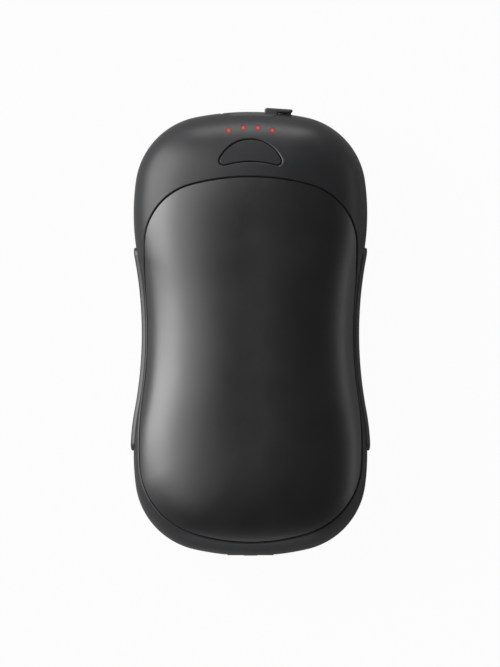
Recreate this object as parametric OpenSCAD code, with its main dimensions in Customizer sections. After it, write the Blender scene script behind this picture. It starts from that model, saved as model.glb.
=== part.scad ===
// Rechargeable hand warmer: a pebble-shaped plastic housing with an aluminium heat plate on
// each face, two cylindrical cells between them, a push button, four indicator lights, a
// covered charging port at the top end and a strap bar at the bottom end.
// It lies on its rear plate. +Z points out of the front plate and +Y to the button end.

/* [Body] */
// Length of the body from end to end
body_l = 120; // [118:0.5:123]
// Thickness over both heat plates
body_t = 28; // [27.8:0.1:29]
// Width across the lobes, without the side grips
lobe_w = 63.2; // [62.8:0.1:65]
// How far the waist is drawn in on each side
waist_in = 3.05; // [2.8:0.05:3.2]
// Distance of the widest point of each lobe from the waist
lobe_y = 32.5; // [31.5:0.1:33.5]
// Radius of the hollow curve at the waist
waist_r = 111; // [109:0.5:113]
// Radius of the rounded top end
top_end_r = 76; // [72:1:84]
// Radius of the rounded bottom end
bottom_end_r = 68; // [65:1:76]
// Radius of the four corners
corner_r = 20.4; // [19.6:0.1:21.2]

/* [Dome and walls] */
// Length of the level ridge along the middle of each face, as a share of the body's length
ridge_share = 0.55; // [0.53:0.01:0.57]
// Size of the flat middle, as a share of the way from the ridge to the edge
flat_share = 0.1; // [0.08:0.01:0.11]
// Fullness of the dome, where 2 is an ellipse
fullness = 2.2; // [2.18:0.01:2.25]
// Wall of the two covers
wall = 2.6; // [2.5:0.05:2.7]
// Height of the tongue that locks the covers together
tongue_h = 1.2; // [0.8:0.1:1.6]
// Width of that tongue
tongue_w = 1; // [0.8:0.05:1.1]

/* [Heat plates] */
// Thickness of the aluminium
plate_t = 1; // [0.8:0.05:1.1]
// Thickness of the adhesive gasket under it
gasket_t = 0.2; // [0.15:0.01:0.3]
// Width of the gap round a plate
plate_gap = 0.36; // [0.3:0.02:0.5]
// Height of the plate's middle line above the body's waist line
plate_mid_y = 0.5; // [0:0.1:1]
// Distance of the gap line from the side of the body at the waist
plate_waist_in = 0.65; // [0.55:0.05:0.85]
// Distance of the gap line's upper lobe from the side of the body
plate_upper_in = 2.85; // [2.6:0.05:2.95]
// Distance of the gap line's lower lobe from the side of the body
plate_lower_in = 1.45; // [1.2:0.05:1.6]
// Distance of the upper lobe from the plate's middle line
plate_upper_y = 23; // [22.5:0.1:23.5]
// Distance of the lower lobe from the plate's middle line
plate_lower_y = 30.5; // [30:0.1:31]
// Radius of the gap line at the waist
plate_waist_r = 116; // [113:1:119]
// Distance of the top of the gap line from the top end of the body
plate_top_in = 17.7; // [17.3:0.1:18.3]
// Distance of the bottom of the gap line from the bottom end of the body
plate_bottom_in = 3.7; // [3.3:0.1:4.1]
// Radius of the plate's top end
plate_top_r = 62.7; // [60:1:68]
// Radius of the plate's bottom end
plate_bottom_r = 52; // [50:1:56]
// Radius of the plate's upper corners
plate_upper_corner_r = 17; // [16.9:0.1:17.6]
// Radius of the plate's lower corners
plate_lower_corner_r = 20.5; // [19.5:0.1:21.5]
// Width of the ledge that a plate is bonded to
ledge_w = 8; // [7.5:0.1:8.5]

/* [Side grips] */
// How far a grip stands out of the body
grip_proud = 0.84; // [0.6:0.02:1.1]
// Width of a grip across the thickness of the body
grip_w = 4.6; // [4.2:0.1:4.7]
// How far a grip is let into the covers
grip_sunk = 0.75; // [0.65:0.05:0.85]
// Upper end of the grips
grip_top_y = 23.3; // [21:0.1:25]
// Lower end of the grips
grip_bottom_y = -31.6; // [-32:0.1:-28]
// Chamfer along the edges of a grip
grip_chamfer = 0.5; // [0.3:0.05:0.6]

/* [Power button] */
// Radius of the button's upper edge
button_r = 9; // [8.7:0.1:9.1]
// Distance of that edge's centre from the top end of the body
button_in = 16.7; // [16.4:0.1:17.1]
// Distance of the button's hollow lower edge from the top end
button_low_in = 13.5; // [13.2:0.1:13.8]
// Radius of that lower edge
button_low_r = 25; // [23:0.5:28]
// Radius of the button's two corners
button_corner_r = 1.1; // [0.9:0.1:1.2]
// Gap round the button
button_gap = 0.25; // [0.2:0.01:0.3]
// Travel of the button
button_travel = 0.3; // [0.2:0.05:0.3]
// Width of the flange that holds the button in
flange_w = 0.9; // [0.6:0.1:1]
// Thickness of that flange
flange_t = 0.8; // [0.6:0.05:0.9]

/* [Indicator lights] */
// Diameter of the light dots
dot_d = 1.2; // [1:0.1:1.4]
// Distance between neighbouring dots
dot_pitch = 3.94; // [3.6:0.02:4]
// Distance of the inner two dots from the top end
dot_inner_in = 4.3; // [4.2:0.1:4.5]
// Distance of the outer two dots from the top end
dot_outer_in = 5.04; // [4.9:0.02:5.2]
// Thickness of the bar that joins the light guides
guide_bar_t = 1.2; // [1:0.05:1.3]

/* [Port flap] */
// Width of the flap
flap_w = 13.4; // [13.2:0.1:14]
// Height of the flap across the thickness of the body
flap_h = 8.8; // [8.6:0.1:9]
// Sideways offset of the flap from the middle
flap_x = 0.8; // [0.6:0.1:1]
// Corner radius of the flap
flap_corner_r = 2.2; // [1.5:0.1:3]
// Depth of the flap's inner face below the top of the body
flap_depth = 1.7; // [1.6:0.05:1.8]
// Length of the plug ring inside the flap
plug_l = 1; // [0.7:0.05:1.1]
// Gap round the flap
flap_gap = 0.2; // [0.15:0.01:0.25]
// Radius of the flap's hinge barrel
barrel_r = 0.6; // [0.55:0.01:0.65]
// Length of that barrel
barrel_l = 4.2; // [3.8:0.1:4.6]
// Distance of the hinge pin from the flap's edge
hinge_out = 1.2; // [1.15:0.01:1.3]
// Depth of the hinge pin below the top of the body
hinge_depth = 1.25; // [1.2:0.01:1.3]
// Diameter of the hinge pin
hinge_pin_d = 0.6; // [0.5:0.05:0.7]
// How far the hinge pin reaches into each cover
hinge_pin_grip = 0.9; // [0.7:0.05:1.1]
// Width of the pull lip across the thickness of the body
lip_w = 5; // [4:0.1:6]
// Thickness of the lip at its root
lip_root_t = 1.1; // [1:0.05:1.2]
// Thickness of the lip at its nose
lip_nose_t = 0.9; // [0.8:0.05:1]
// Distance of the root's start from the flap's right end
lip_root_in = 3.7; // [3.2:0.1:4.2]
// Distance of the nose beyond the flap's right end
lip_reach = 3.9; // [3:0.1:4.4]
// Height of the lip's root above the top of the body
lip_root_rise = 1.05; // [0.95:0.05:1.2]
// Height of the lip's nose above the top of the body
lip_nose_rise = 0.62; // [0.55:0.01:0.8]

/* [Charging port] */
// Width of the pocket in front of the connector
pocket_w = 10.6; // [10.4:0.1:10.8]
// Height of that pocket
pocket_h = 5.4; // [5.2:0.1:5.6]
// Depth of that pocket
pocket_d = 1.6; // [1.4:0.05:1.8]
// Wall of the insert round the pocket
insert_wall = 0.9; // [0.8:0.05:1]
// Thickness of the insert's floor
insert_floor = 1; // [0.8:0.05:1.1]
// Width of the locking ribs on both sides of the insert
insert_rib = 1; // [0.7:0.05:1.1]
// Width of the connector's shell
usb_w = 8.94; // [8.9:0.01:8.98]
// Height of the connector's shell
usb_h = 3.16; // [3.12:0.01:3.2]
// Length of the connector's shell
usb_l = 7.35; // [7:0.05:7.6]
// Sheet thickness of the connector's shell
usb_sheet = 0.3; // [0.2:0.02:0.35]
// Width of the connector's tongue
usb_tongue_w = 6.69; // [6.5:0.01:6.8]
// Thickness of the connector's tongue
usb_tongue_t = 0.7; // [0.6:0.02:0.8]

/* [Strap bar] */
// Diameter of the bar
bar_d = 1.8; // [1.6:0.05:2]
// How far the bar stands out of the end of the body
bar_proud = 0; // [-0.1:0.02:0.1]
// Width of the recess behind the bar
strap_w = 12.6; // [12:0.1:13]
// Height of that recess across the thickness of the body
strap_h = 5.2; // [4.8:0.1:5.4]
// Depth of that recess
strap_d = 4.6; // [4.4:0.1:4.8]
// Diameter of the pins at the ends of the bar
bar_pin_d = 1; // [0.8:0.05:1.1]
// How far those pins reach into the wall at each side
bar_grip = 1.3; // [1:0.1:1.5]
// How far those pins are set inwards from the middle of the bar
bar_pin_in = 0.35; // [0.3:0.01:0.4]
// Length of the thicker middle of the bar
collar_l = 3.6; // [3:0.1:4]
// How much thicker the middle is all round
collar_step = 0.1; // [0.08:0.01:0.14]

/* [Battery] */
// Diameter of a cell
cell_d = 21.5; // [21.3:0.05:21.7]
// Length of a cell
cell_l = 70; // [69.6:0.1:70.4]
// Distance between the axes of the two cells
cell_pitch = 22.3; // [22.2:0.05:22.4]
// Upper end of the cells
cell_top_y = 27; // [26.8:0.1:27.2]
// Length that a bracket's collar covers
collar_y = 6; // [4:0.5:8]
// Thickness of a bracket's end plate
bracket_t = 1.5; // [1.2:0.1:1.7]
// Height of the brackets
bracket_h = 13; // [12:0.1:13.2]
// Thickness of a bracket's ears
ear_h = 5; // [4:0.1:6]
// Thickness of the nickel strips
strip_t = 0.15; // [0.1:0.01:0.18]
// Width of the nickel strips
strip_w = 8; // [7:0.1:8.6]

/* [Heaters] */
// Thickness of the heater films
film_t = 0.2; // [0.15:0.01:0.22]
// Thickness of the insulation pads
pad_t = 1; // [0.8:0.05:1.1]
// Diameter of the temperature sensor's bead
bead_d = 1.4; // [1:0.05:1.5]

/* [Boards] */
// Thickness of the main board
board_t = 1.6; // [1.4:0.05:1.7]
// Width of the main board
board_w = 41; // [39:0.2:42]
// Distance of the main board's lower edge from the top end
board_low_in = 29; // [28.8:0.1:29.2]
// Distance of the main board's upper edge from the top end
board_top_in = 5.8; // [5.6:0.1:6]
// Thickness of the indicator board
indicator_t = 1; // [0.8:0.05:1.1]
// Width of the indicator board
indicator_w = 30; // [29:0.2:31]
// Distance of the indicator board's lower edge from the top end
indicator_low_in = 18.5; // [18.2:0.1:18.7]
// Distance of the indicator board's upper edge from the top end
indicator_top_in = 6; // [5.8:0.1:6.2]
// Height of the indicator board's top face above the middle of the body
indicator_z = 3.4; // [3.35:0.01:3.45]
// Side of the button switch
switch_w = 6; // [5.8:0.05:6.1]
// Height of the switch's body
switch_h = 2.6; // [2.5:0.02:2.7]
// Diameter of the switch's plunger
plunger_d = 3.4; // [3:0.1:3.6]
// Distance of the switch from the top end
switch_in = 12.2; // [12.1:0.05:12.4]

/* [Screws] */
// Diameter of the cover screws
screw_d = 2; // [1.8:0.05:2.2]
// Length of the cover screws under the head
screw_l = 10; // [9:0.2:11]
// Head diameter of the cover screws
screw_head_d = 3.8; // [3.5:0.05:4]
// Head height of the cover screws
screw_head_h = 1.4; // [1.2:0.05:1.6]
// Distance of the screw seats from the middle of the body
screw_seat = 5.4; // [5.2:0.05:5.5]
// Diameter of the bosses that the cover screws go into
boss_d = 5.2; // [5:0.05:5.4]
// Diameter of the board screws
board_screw_d = 1.8; // [1.6:0.05:2]
// Length of the board screws under the head
board_screw_l = 5; // [4.5:0.1:5.5]
// Head diameter of the board screws
board_head_d = 3.4; // [3:0.05:3.6]
// Head height of the board screws
board_head_h = 1.1; // [0.9:0.05:1.2]
// Diameter of the posts under the boards
post_d = 4.4; // [4.2:0.05:4.6]

/* [Fits] */
// Clearance round pieces that are laid into a seat
seat_fit = 0.1; // [0.08:0.01:0.12]
// Clearance round screws and pins in their holes
pin_fit = 0.03; // [0.02:0.005:0.05]

/* [Hidden] */

// Overrun of every cut past the face it goes through
over = 1;
half_t = body_t/2;

// Facets of each stretch of an outline quadrant: end, corner, side and waist
end_steps = 3;
corner_steps = 7;
side_steps = 4;
waist_steps = 4;

// Angles at which a dome has a ring, from its edge to its flat middle
outer_levels = [0, 7, 15, 24, 34, 45, 57, 70, 90];
inner_levels = [0, 12, 26, 40, 54, 70, 90];

// A vector of length one along v
function unit(v) = v/norm(v);

// The cross product of two plane vectors
function turn(a, b) = a[0]*b[1] - a[1]*b[0];

// Where two circles meet, on the left of the way from the first centre to the second
function meet(c1, r1, c2, r2) =
    let (
        d = norm(c2 - c1),
        a = (r1*r1 - r2*r2 + d*d)/(2*d),
        u = (c2 - c1)/d
    )
    c1 + a*u + sqrt(r1*r1 - a*a)*[-u[1], u[0]];

// One quadrant of a pebble outline as four tangent arcs, each a list of its centre, its radius,
// 1 where it bulges and -1 where it is hollow, its first and last angle and its facets
function quadrant(apex, end_r, round_r, lobe_x, lobe_up, waist_x, hollow_r) =
    let (
        d = lobe_x - waist_x,
        side_r = (lobe_up*lobe_up + d*d)/(2*d) - hollow_r,
        c_end = [0, apex - end_r],
        c_side = [lobe_x - side_r, lobe_up],
        c_waist = [waist_x + hollow_r, 0],
        c_corner = meet(c_side, side_r - round_r, c_end, end_r - round_r),
        a1 = atan2(c_corner[1] - c_end[1], c_corner[0] - c_end[0]),
        a2 = atan2(c_corner[1] - c_side[1], c_corner[0] - c_side[0]),
        a3 = atan2(c_waist[1] - c_side[1], c_waist[0] - c_side[0])
    )
    [
        [c_end, end_r, 1, 90, a1, end_steps],
        [c_corner, round_r, 1, a1, a2, corner_steps],
        [c_side, side_r, 1, a2, a3, side_steps],
        [c_waist, hollow_r, -1, 180 + a3, 180, waist_steps]
    ];

// The points of a quadrant from its apex to just before the waist, moved in by an inset and
// along the outline by a share of a facet
function walk(q, inset, late = 0) =
    [for (a = q) for (i = [0:a[5] - 1])
        let (t = a[3] + (a[4] - a[3])*(i + late)/a[5])
        a[0] + (a[1] - a[2]*inset)*[cos(t), sin(t)]];

// The same points mirrored to the lower half, from the waist down to the apex
function walk_down(q, inset, late = 0) =
    let (w = walk(q, inset, late))
    [for (i = [len(w) - 1:-1:0]) [w[i][0], -w[i][1]]];

// A closed outline, clockwise from its top, moved in by an inset
function outline(upper, lower, inset, mid_y) =
    let (
        waist = [[upper[3][0][0] - upper[3][1] - inset, 0]],
        right = concat(walk(upper, inset), waist, walk_down(lower, inset)),
        n = len(right),
        left = [for (i = [n - 2:-1:1]) [-right[i][0], right[i][1]]]
    )
    [for (p = concat(right, left)) [p[0], p[1] + mid_y]];

button_y = body_l/2 - button_in;
button_low_y = body_l/2 - button_low_in;
dot_inner_y = body_l/2 - dot_inner_in;
dot_outer_y = body_l/2 - dot_outer_in;
board_low_y = body_l/2 - board_low_in;
board_top_y = body_l/2 - board_top_in;
indicator_low_y = body_l/2 - indicator_low_in;
indicator_top_y = body_l/2 - indicator_top_in;
switch_y = body_l/2 - switch_in;
waist_w = lobe_w - 2*waist_in;
plate_waist_w = waist_w - 2*plate_waist_in;
plate_upper_w = lobe_w - 2*plate_upper_in;
plate_lower_w = lobe_w - 2*plate_lower_in;
plate_top_y = body_l/2 - plate_mid_y - plate_top_in;
plate_bottom_y = body_l/2 + plate_mid_y - plate_bottom_in;
body_upper = quadrant(body_l/2, top_end_r, corner_r, lobe_w/2, lobe_y, waist_w/2, waist_r);
body_lower = quadrant(body_l/2, bottom_end_r, corner_r, lobe_w/2, lobe_y, waist_w/2, waist_r);
plate_upper = quadrant(plate_top_y, plate_top_r, plate_upper_corner_r, plate_upper_w/2, plate_upper_y,
    plate_waist_w/2, plate_waist_r);
plate_lower = quadrant(plate_bottom_y, plate_bottom_r, plate_lower_corner_r, plate_lower_w/2,
    plate_lower_y, plate_waist_w/2, plate_waist_r);

function body_outline(inset) = outline(body_upper, body_lower, inset, 0);
function plate_outline(inset) = outline(plate_upper, plate_lower, inset, plate_mid_y);

// The window inside the ledge, with its corners between those of the plate's rings
function window_outline() =
    let (
        right = concat(walk(plate_upper, ledge_w, 1/2), walk_down(plate_lower, ledge_w, 1/2)),
        left = [for (i = [len(right) - 1:-1:0]) [-right[i][0], right[i][1]]]
    )
    [for (p = concat(right, left)) [p[0], p[1] + plate_mid_y]];

// The place on the front face on the way from the ridge to a point of the outline, where out is
// the outline's point with its outward direction and s the share of the way, 1 at the edge
function ridge_y(y, s) = y*(ridge_share + (1 - ridge_share)*s);
function rise(s) =
    let (u = max(0, (s - flat_share)/(1 - flat_share)))
    half_t*pow(1 - pow(u, fullness), 1/fullness);
function fall(s) =
    let (u = (s - flat_share)/(1 - flat_share))
    half_t/(1 - flat_share)*pow(u, fullness - 1)*pow(1 - pow(u, fullness), 1/fullness - 1);

// The outward direction of the face there
function face_normal(out, s) =
    s >= 1 ? [out[1][0], out[1][1], 0]
    : s <= flat_share ? [0, 0, 1]
    : let (
        along = [-s*out[1][1], (ridge_share + (1 - ridge_share)*s)*out[1][0]],
        away = [out[0][0], (1 - ridge_share)*out[0][1]],
        n = [fall(s)*along[1], -fall(s)*along[0], turn(away, along)]
    )
    unit(n);

// The same place, sunk by a depth along that direction
function on_face(out, s, depth) =
    [s*out[0][0], ridge_y(out[0][1], s), rise(s)] - depth*face_normal(out, s);

// How far in from the middle of an end the face has risen to a height
function end_in_at(z) =
    body_l/2*(1 - ridge_share)*(1 - flat_share)*(1 - pow(1 - pow(z/half_t, fullness), 1/fullness));

// The arc of a quadrant that a point is measured from
function arc_of(q, p) =
    turn(q[1][0] - q[0][0], p - q[0][0]) > 0 ? q[0]
    : turn(q[1][0] - q[2][0], p - q[2][0]) > 0 ? q[1]
    : turn(q[3][0] - q[2][0], p - q[2][0]) > 0 ? q[2]
    : q[3];

// How far a plan point lies inside the body's outline
function inside_by(p) =
    let (
        q = [abs(p[0]), abs(p[1])],
        a = arc_of(p[1] < 0 ? body_lower : body_upper, q)
    )
    a[2]*(a[1] - norm(q - a[0]));

// The outline's outward direction at one of its points
function out_at(p) =
    let (
        q = [abs(p[0]), abs(p[1])],
        a = arc_of(p[1] < 0 ? body_lower : body_upper, q),
        n = a[2]*unit(q - a[0])
    )
    [n[0]*sign(p[0]), n[1]*(p[1] < 0 ? -1 : 1)];

// The share of the way from the ridge to the edge at which a plan point lies
way_steps = 40;
function stretched(p, s) = [p[0]/s, p[1]/(ridge_share + (1 - ridge_share)*s)];
function way_of(p, low = 0, high = 1, step = 0) =
    step == way_steps ? (low + high)/2
    : let (mid = (low + high)/2)
    inside_by(stretched(p, mid)) < 0 ? way_of(p, mid, high, step + 1) : way_of(p, low, mid, step + 1);

// A plan point as the outline's point on the same way, its outward direction, and its share
function way_through(p) =
    let (
        s = way_of(p),
        edge = stretched(p, s)
    )
    [edge, out_at(edge), s];

// The faces of the flat end of a stack whose ring starts at point o
function end_faces(o, n) =
    let (h = n/2)
    [for (i = [0:h - 1])
        i == 0 ? [o, o + n - 1, o + 1]
        : i == h - 1 ? [o + i, o + n - i, o + h]
        : [o + i, o + n - i, o + n - i - 1, o + i + 1]];

function flipped(faces) = [for (f = faces) [for (i = [len(f) - 1:-1:0]) f[i]]];

// A solid through rings of points that are mirrored left to right, flat at both ends, or
// closed on itself as a band where looped is true
module stack(rings, looped = false) {
    m = len(rings);
    n = len(rings[0]);
    points = [for (r = rings) each r];
    sides = [for (j = [0:m - (looped ? 1 : 2)]) for (i = [0:n - 1])
        let (
            a = j*n + i,
            b = j*n + (i + 1)%n,
            c = ((j + 1)%m)*n + i,
            d = ((j + 1)%m)*n + (i + 1)%n
        )
        each looped && j >= m/2 ? [[a, b, d], [a, d, c]] : [[a, b, c], [b, d, c]]];
    ends = looped ? [] : concat(end_faces(0, n), flipped(end_faces((m - 1)*n, n)));
    polyhedron(concat(points), concat(sides, ends), convexity = 8);
}

// Half of the pebble, sunk by a depth all round, with its flat side at the height floor_z
dome_edge = [for (p = body_outline(0)) [p, out_at(p)]];
module dome(depth, levels, floor_z) {
    foot = [for (o = dome_edge) [o[0][0] - depth*o[1][0], o[0][1] - depth*o[1][1], floor_z]];
    first = floor_z < 0 ? [foot] : [];
    rings = [for (t = levels)
        let (s = flat_share + (1 - flat_share)*pow(cos(t), 2/fullness))
        [for (o = dome_edge) on_face(o, s, depth)]];
    stack(concat(first, rings));
}

// Rings of a plate, as shares of the way from its edge to the flat middle
plate_ring_shares = [0.05, 0.12, 0.21, 0.33, 0.5, 0.72, 1];
function gap_line(inset) = [for (p = plate_outline(inset)) way_through(p)];
plate_edge = gap_line(plate_gap/2);
recess_edge = gap_line(-plate_gap/2);

function edge_ring(edge, depth) = [for (w = edge) on_face([w[0], w[1]], w[2], depth)];
function inner_ring(share, depth) =
    [for (w = plate_edge) on_face([w[0], w[1]], w[2] + (flat_share - w[2])*share, depth)];

// A formed plate just under the surface
module formed_plate(thick) {
    count = len(plate_ring_shares);
    below = [for (i = [count - 1:-1:0]) inner_ring(plate_ring_shares[i], thick)];
    above = [for (share = plate_ring_shares) inner_ring(share, 0)];
    stack(concat(below, [edge_ring(plate_edge, thick), edge_ring(plate_edge, 0)], above));
}

// The space that a plate and its gasket take out of a cover
module plate_recess(deep) {
    count = len(plate_ring_shares);
    below = [for (i = [count - 1:-1:0]) inner_ring(plate_ring_shares[i], deep)];
    mouth = edge_ring(recess_edge, -over/2);
    lid = [for (p = mouth) [p[0], p[1], half_t + over]];
    stack(concat(below, [edge_ring(recess_edge, deep), mouth, lid]));
}

// The adhesive band on the ledge, on the first rings of the plate
gasket_rings = 3;
module gasket() {
    shares = [for (i = [0:gasket_rings]) plate_ring_shares[i]];
    below = [for (i = [gasket_rings:-1:0]) inner_ring(shares[i], plate_t + gasket_t)];
    above = [for (share = shares) inner_ring(share, plate_t + gasket_slack)];
    stack(concat(below, above), true);
}
gasket_slack = gasket_t/10;
recess_d = plate_t + gasket_t;

// A flexible sheet that follows the inside of a plate between two depths
sheet_from = 4;
module formed_sheet(upper_depth, lower_depth) {
    count = len(plate_ring_shares);
    below = [for (i = [count - 1:-1:sheet_from]) inner_ring(plate_ring_shares[i], lower_depth)];
    above = [for (i = [sheet_from:count - 1]) inner_ring(plate_ring_shares[i], upper_depth)];
    stack(concat(below, above));
}

// Rectangle with round corners about the origin
module round_rect(w, h, r) {
    square([w - 2*r, h], center = true);
    square([w, h - 2*r], center = true);
    for (x = [-1, 1])
        for (y = [-1, 1])
            translate([x*(w/2 - r), y*(h/2 - r)])
                circle(r = r, $fn = 32);
}

// A shape drawn across the body, with its width along X and its height along Z
module along_y(from_y, to_y) {
    translate([0, to_y, 0])
        rotate([90, 0, 0])
            linear_extrude(to_y - from_y)
                children();
}

// Everything is drawn about the middle of the body, then lifted to rest on the rear plate and
// moved along its length until the whole stands in the middle
module placed() {
    translate([0, -end_overhang/2, half_t])
        children();
}

module to_rear() {
    mirror([0, 0, 1])
        children();
}

// The side of the body at a height: its place and its outward direction
side_meet_y = lobe_y*waist_r/(waist_r + body_upper[2][1]);
function side_at(y) =
    let (
        waisted = abs(y) < side_meet_y,
        c = waisted ? body_upper[3][0] : body_upper[2][0],
        r = waisted ? waist_r : body_upper[2][1],
        up = abs(y) - (waisted ? 0 : c[1]),
        dx = sqrt(r*r - up*up)*(waisted ? -1 : 1),
        n = (waisted ? -1 : 1)*[dx, up*(y < 0 ? -1 : 1)]/r
    )
    [[c[0] + dx, y], n];

// A grip or the pocket for one: rounded at both ends, with a row of sections along the side
nose_angles = [20, 38, 56, 74, 90];
grip_middle_steps = 10;
module grip_shape(grow, sunk, proud, chamfer) {
    h = grip_w/2;
    low = grip_bottom_y + h;
    high = grip_top_y - h;
    count = len(nose_angles);
    lower = [for (a = nose_angles) [low - (h + grow)*cos(a), a]];
    middle = [for (i = [1:grip_middle_steps - 1]) [low + (high - low)*i/grip_middle_steps, 90]];
    upper = [for (i = [count - 1:-1:0]) [high + (h + grow)*cos(nose_angles[i]), nose_angles[i]]];
    stations = concat(lower, middle, upper);
    sections = [for (s = stations)
        let (
            at = side_at(s[0]),
            half = (h + grow)*sin(s[1]),
            stand = proud*sqrt(sin(s[1])),
            cut = min(chamfer, half/2, stand/2),
            square_edge = [[stand, -half], [stand, half]],
            cut_edge = [[stand - cut, -half], [stand, cut - half], [stand, half - cut], [stand - cut, half]]
        )
        [for (k = concat([[-sunk, -half]], cut > 0 ? cut_edge : square_edge, [[-sunk, half]]))
            [at[0][0] + k[0]*at[1][0], at[0][1] + k[0]*at[1][1], k[1]]]];
    n = len(sections[0]);
    m = len(sections);
    points = [for (s = sections) each s];
    sides = [for (j = [0:m - 2]) for (i = [0:n - 1])
        let (
            a = j*n + i,
            b = j*n + (i + 1)%n
        )
        each [[a, b, a + n], [b, b + n, a + n]]];
    start = [[for (i = [n - 1:-1:0]) i]];
    finish = [[for (i = [0:n - 1]) (m - 1)*n + i]];
    polyhedron(points, concat(sides, start, finish), convexity = 4);
}

module grip_pockets() {
    for (side = [0, 1])
        mirror([side, 0, 0])
            grip_shape(seat_fit, grip_sunk + seat_fit, over, 0);
}

// The half-moon of the button, grown all round by an amount
moon_steps = 12;
function moon(grow) =
    let (
        c_up = [0, button_y],
        c_low = [0, button_low_y - button_low_r],
        r_up = button_r + grow,
        r_low = button_low_r - grow,
        r = button_corner_r + grow,
        c = meet(c_low, button_low_r + button_corner_r, c_up, button_r - button_corner_r),
        corner = [abs(c[0]), c[1]],
        a_up = atan2(corner[1] - c_up[1], corner[0]),
        a_low = atan2(corner[1] - c_low[1], corner[0]),
        top = [for (i = [0:moon_steps]) let (t = 180 - a_up + (2*a_up - 180)*i/moon_steps)
            c_up + r_up*[cos(t), sin(t)]],
        right = [for (i = [1:5]) let (t = a_up - (a_up - a_low + 180)*i/6)
            corner + r*[cos(t), sin(t)]],
        bottom = [for (i = [0:moon_steps]) let (t = a_low + (180 - 2*a_low)*i/moon_steps)
            c_low + r_low*[cos(t), sin(t)]],
        left = [for (i = [4:-1:0]) [-right[i][0], right[i][1]]]
    )
    concat(top, right, bottom, left);

// Heights about the button, measured from the middle of the body
plunger_h = 0.8;
plunger_top_z = indicator_z + switch_h + plunger_h;
press_gap = 0.05;
nub_t = 0.2;
flange_z = plunger_top_z + press_gap + nub_t;
flange_gap = 0.1;
button_pad_z = flange_z + flange_t + flange_gap;
button_pad_w = flange_w + wall/2;
flange_pocket_w = flange_w + button_gap;
nub_d = plunger_d;
plug_clear = 0.3;

// Places of the four light dots
dots = [
    [-1.5*dot_pitch, dot_outer_y],
    [-dot_pitch/2, dot_inner_y],
    [dot_pitch/2, dot_inner_y],
    [1.5*dot_pitch, dot_outer_y]
];
led_l = 1.6;
led_w = 0.8;
led_h = 0.6;
led_y = indicator_top_y - led_w - led_w/2;
guide_gap = 0.25;
guide_z = indicator_z + led_h + guide_gap;
guide_low_y = led_y - led_w;
guide_top_y = dot_inner_y + dot_d/2 + seat_fit;
guide_bar_w = 3*dot_pitch + led_l;

// Places along the length near the top end
top_y = body_l/2;
flap_in_y = top_y - flap_depth;
insert_y = flap_in_y - seat_fit;
pocket_floor_y = insert_y - pocket_d;
insert_back_y = pocket_floor_y - insert_floor;
insert_w = pocket_w + 2*insert_wall;
insert_h = pocket_h + 2*insert_wall;
insert_r = flap_corner_r/2;
rib_y = insert_back_y + insert_floor/2;
rib_l = insert_floor;
rib_h = insert_h/2;
block_w = insert_w + 2*insert_rib + wall;
block_h = insert_h + insert_wall;
block_y = insert_back_y - seat_fit;
hinge_x = flap_x - flap_w/2 - hinge_out;
hinge_y = top_y - hinge_depth;
usb_mouth_y = pocket_floor_y + seat_fit;
usb_z = 0;
usb_r = 0.4*usb_h;
board_z = usb_z - usb_h/2;

// Places along the length near the bottom end
bar_y = -body_l/2 + bar_d/2 - bar_proud;
strap_floor_y = strap_d - body_l/2;
strap_r = strap_h/4;
strap_block_w = strap_w + 2*bar_grip + wall;
strap_block_h = strap_h + wall;
strap_block_y = strap_floor_y + wall/2;

// Places of the six cover screws, with the distance of four of them from the side
upper_screw_in = 6.8;
lower_screw_in = 6.8;
screw_places = [
    for (s = [-1, 1])
        each [
            [s*(lobe_w/2 - upper_screw_in), board_low_y],
            [s*(lobe_w/2 - lower_screw_in), -lobe_y - screw_d/2],
            [s*(strap_block_w/2 + boss_d/2 + screw_d/2), strap_floor_y + boss_d]
        ]
];

// Places of the board screws
low_post_x = 15;
high_post_x = 14;
post_in = 4;
indicator_post_x = 11.8;
indicator_post_in = 5.5;
main_posts = [
    for (s = [-1, 1])
        each [
            [s*low_post_x, board_low_y + post_in],
            [s*high_post_x, board_top_y - post_in]
        ]
];
indicator_posts = [for (s = [-1, 1]) [s*indicator_post_x, indicator_top_y - indicator_post_in]];

// How much further the lip reaches out at the top end than the bar does at the bottom end
end_overhang = lip_root_rise - bar_proud - collar_step;

// Lengths of the two pins that are held by the covers
hinge_pin_l = barrel_l + 2*flap_gap + 2*hinge_pin_grip;
bar_l = strap_w + 2*bar_grip;

// The ring that plugs the flap into the pocket
plug_w = pocket_w - 2*plug_clear;
plug_h = pocket_h - 2*plug_clear;
plug_t = insert_wall;

// Shape of a cell's ends
can_round = cell_d/40;
groove_in = cell_d/6;
groove_r = cell_d/30;
cap_h = cell_d/60;
cap_r = cell_d/5;
ring_t = cell_d/90;

// Brackets: half their width, their length, and the ears that the covers' ribs clamp
cell_half = cell_pitch/2 + cell_d/2 + bracket_t/2;
bracket_l = collar_y + seat_fit + bracket_t;
ear_reach = 2*bracket_t + seat_fit;
rib_t = 2*bracket_t;
ear_l = rib_t;
upper_ear_y = cell_top_y + seat_fit - rib_t/2;
lower_ear_y = cell_top_y - cell_l - seat_fit + rib_t/2;

// Heater stack under a plate: depths below the face of the film and of the pad under it
film_gap = 0.1;
film_depth = plate_t + film_gap;
pad_depth = film_depth + film_t + film_gap;
sheet_top_y = cell_top_y + 2*bracket_t/3;
tab_w = 2.4;
tab_t = 0.5;
tab_y = sheet_top_y - tab_w - seat_fit;
tab_z = half_t - film_depth - film_t - tab_t - film_gap;
lead_x = 5;
bead_y = cell_top_y - cell_l/2;
bead_z = half_t - pad_depth - pad_t;

// Wires
wire_d = 0.9;
lead_d = 1.4;
valley_z = 8;

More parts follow.
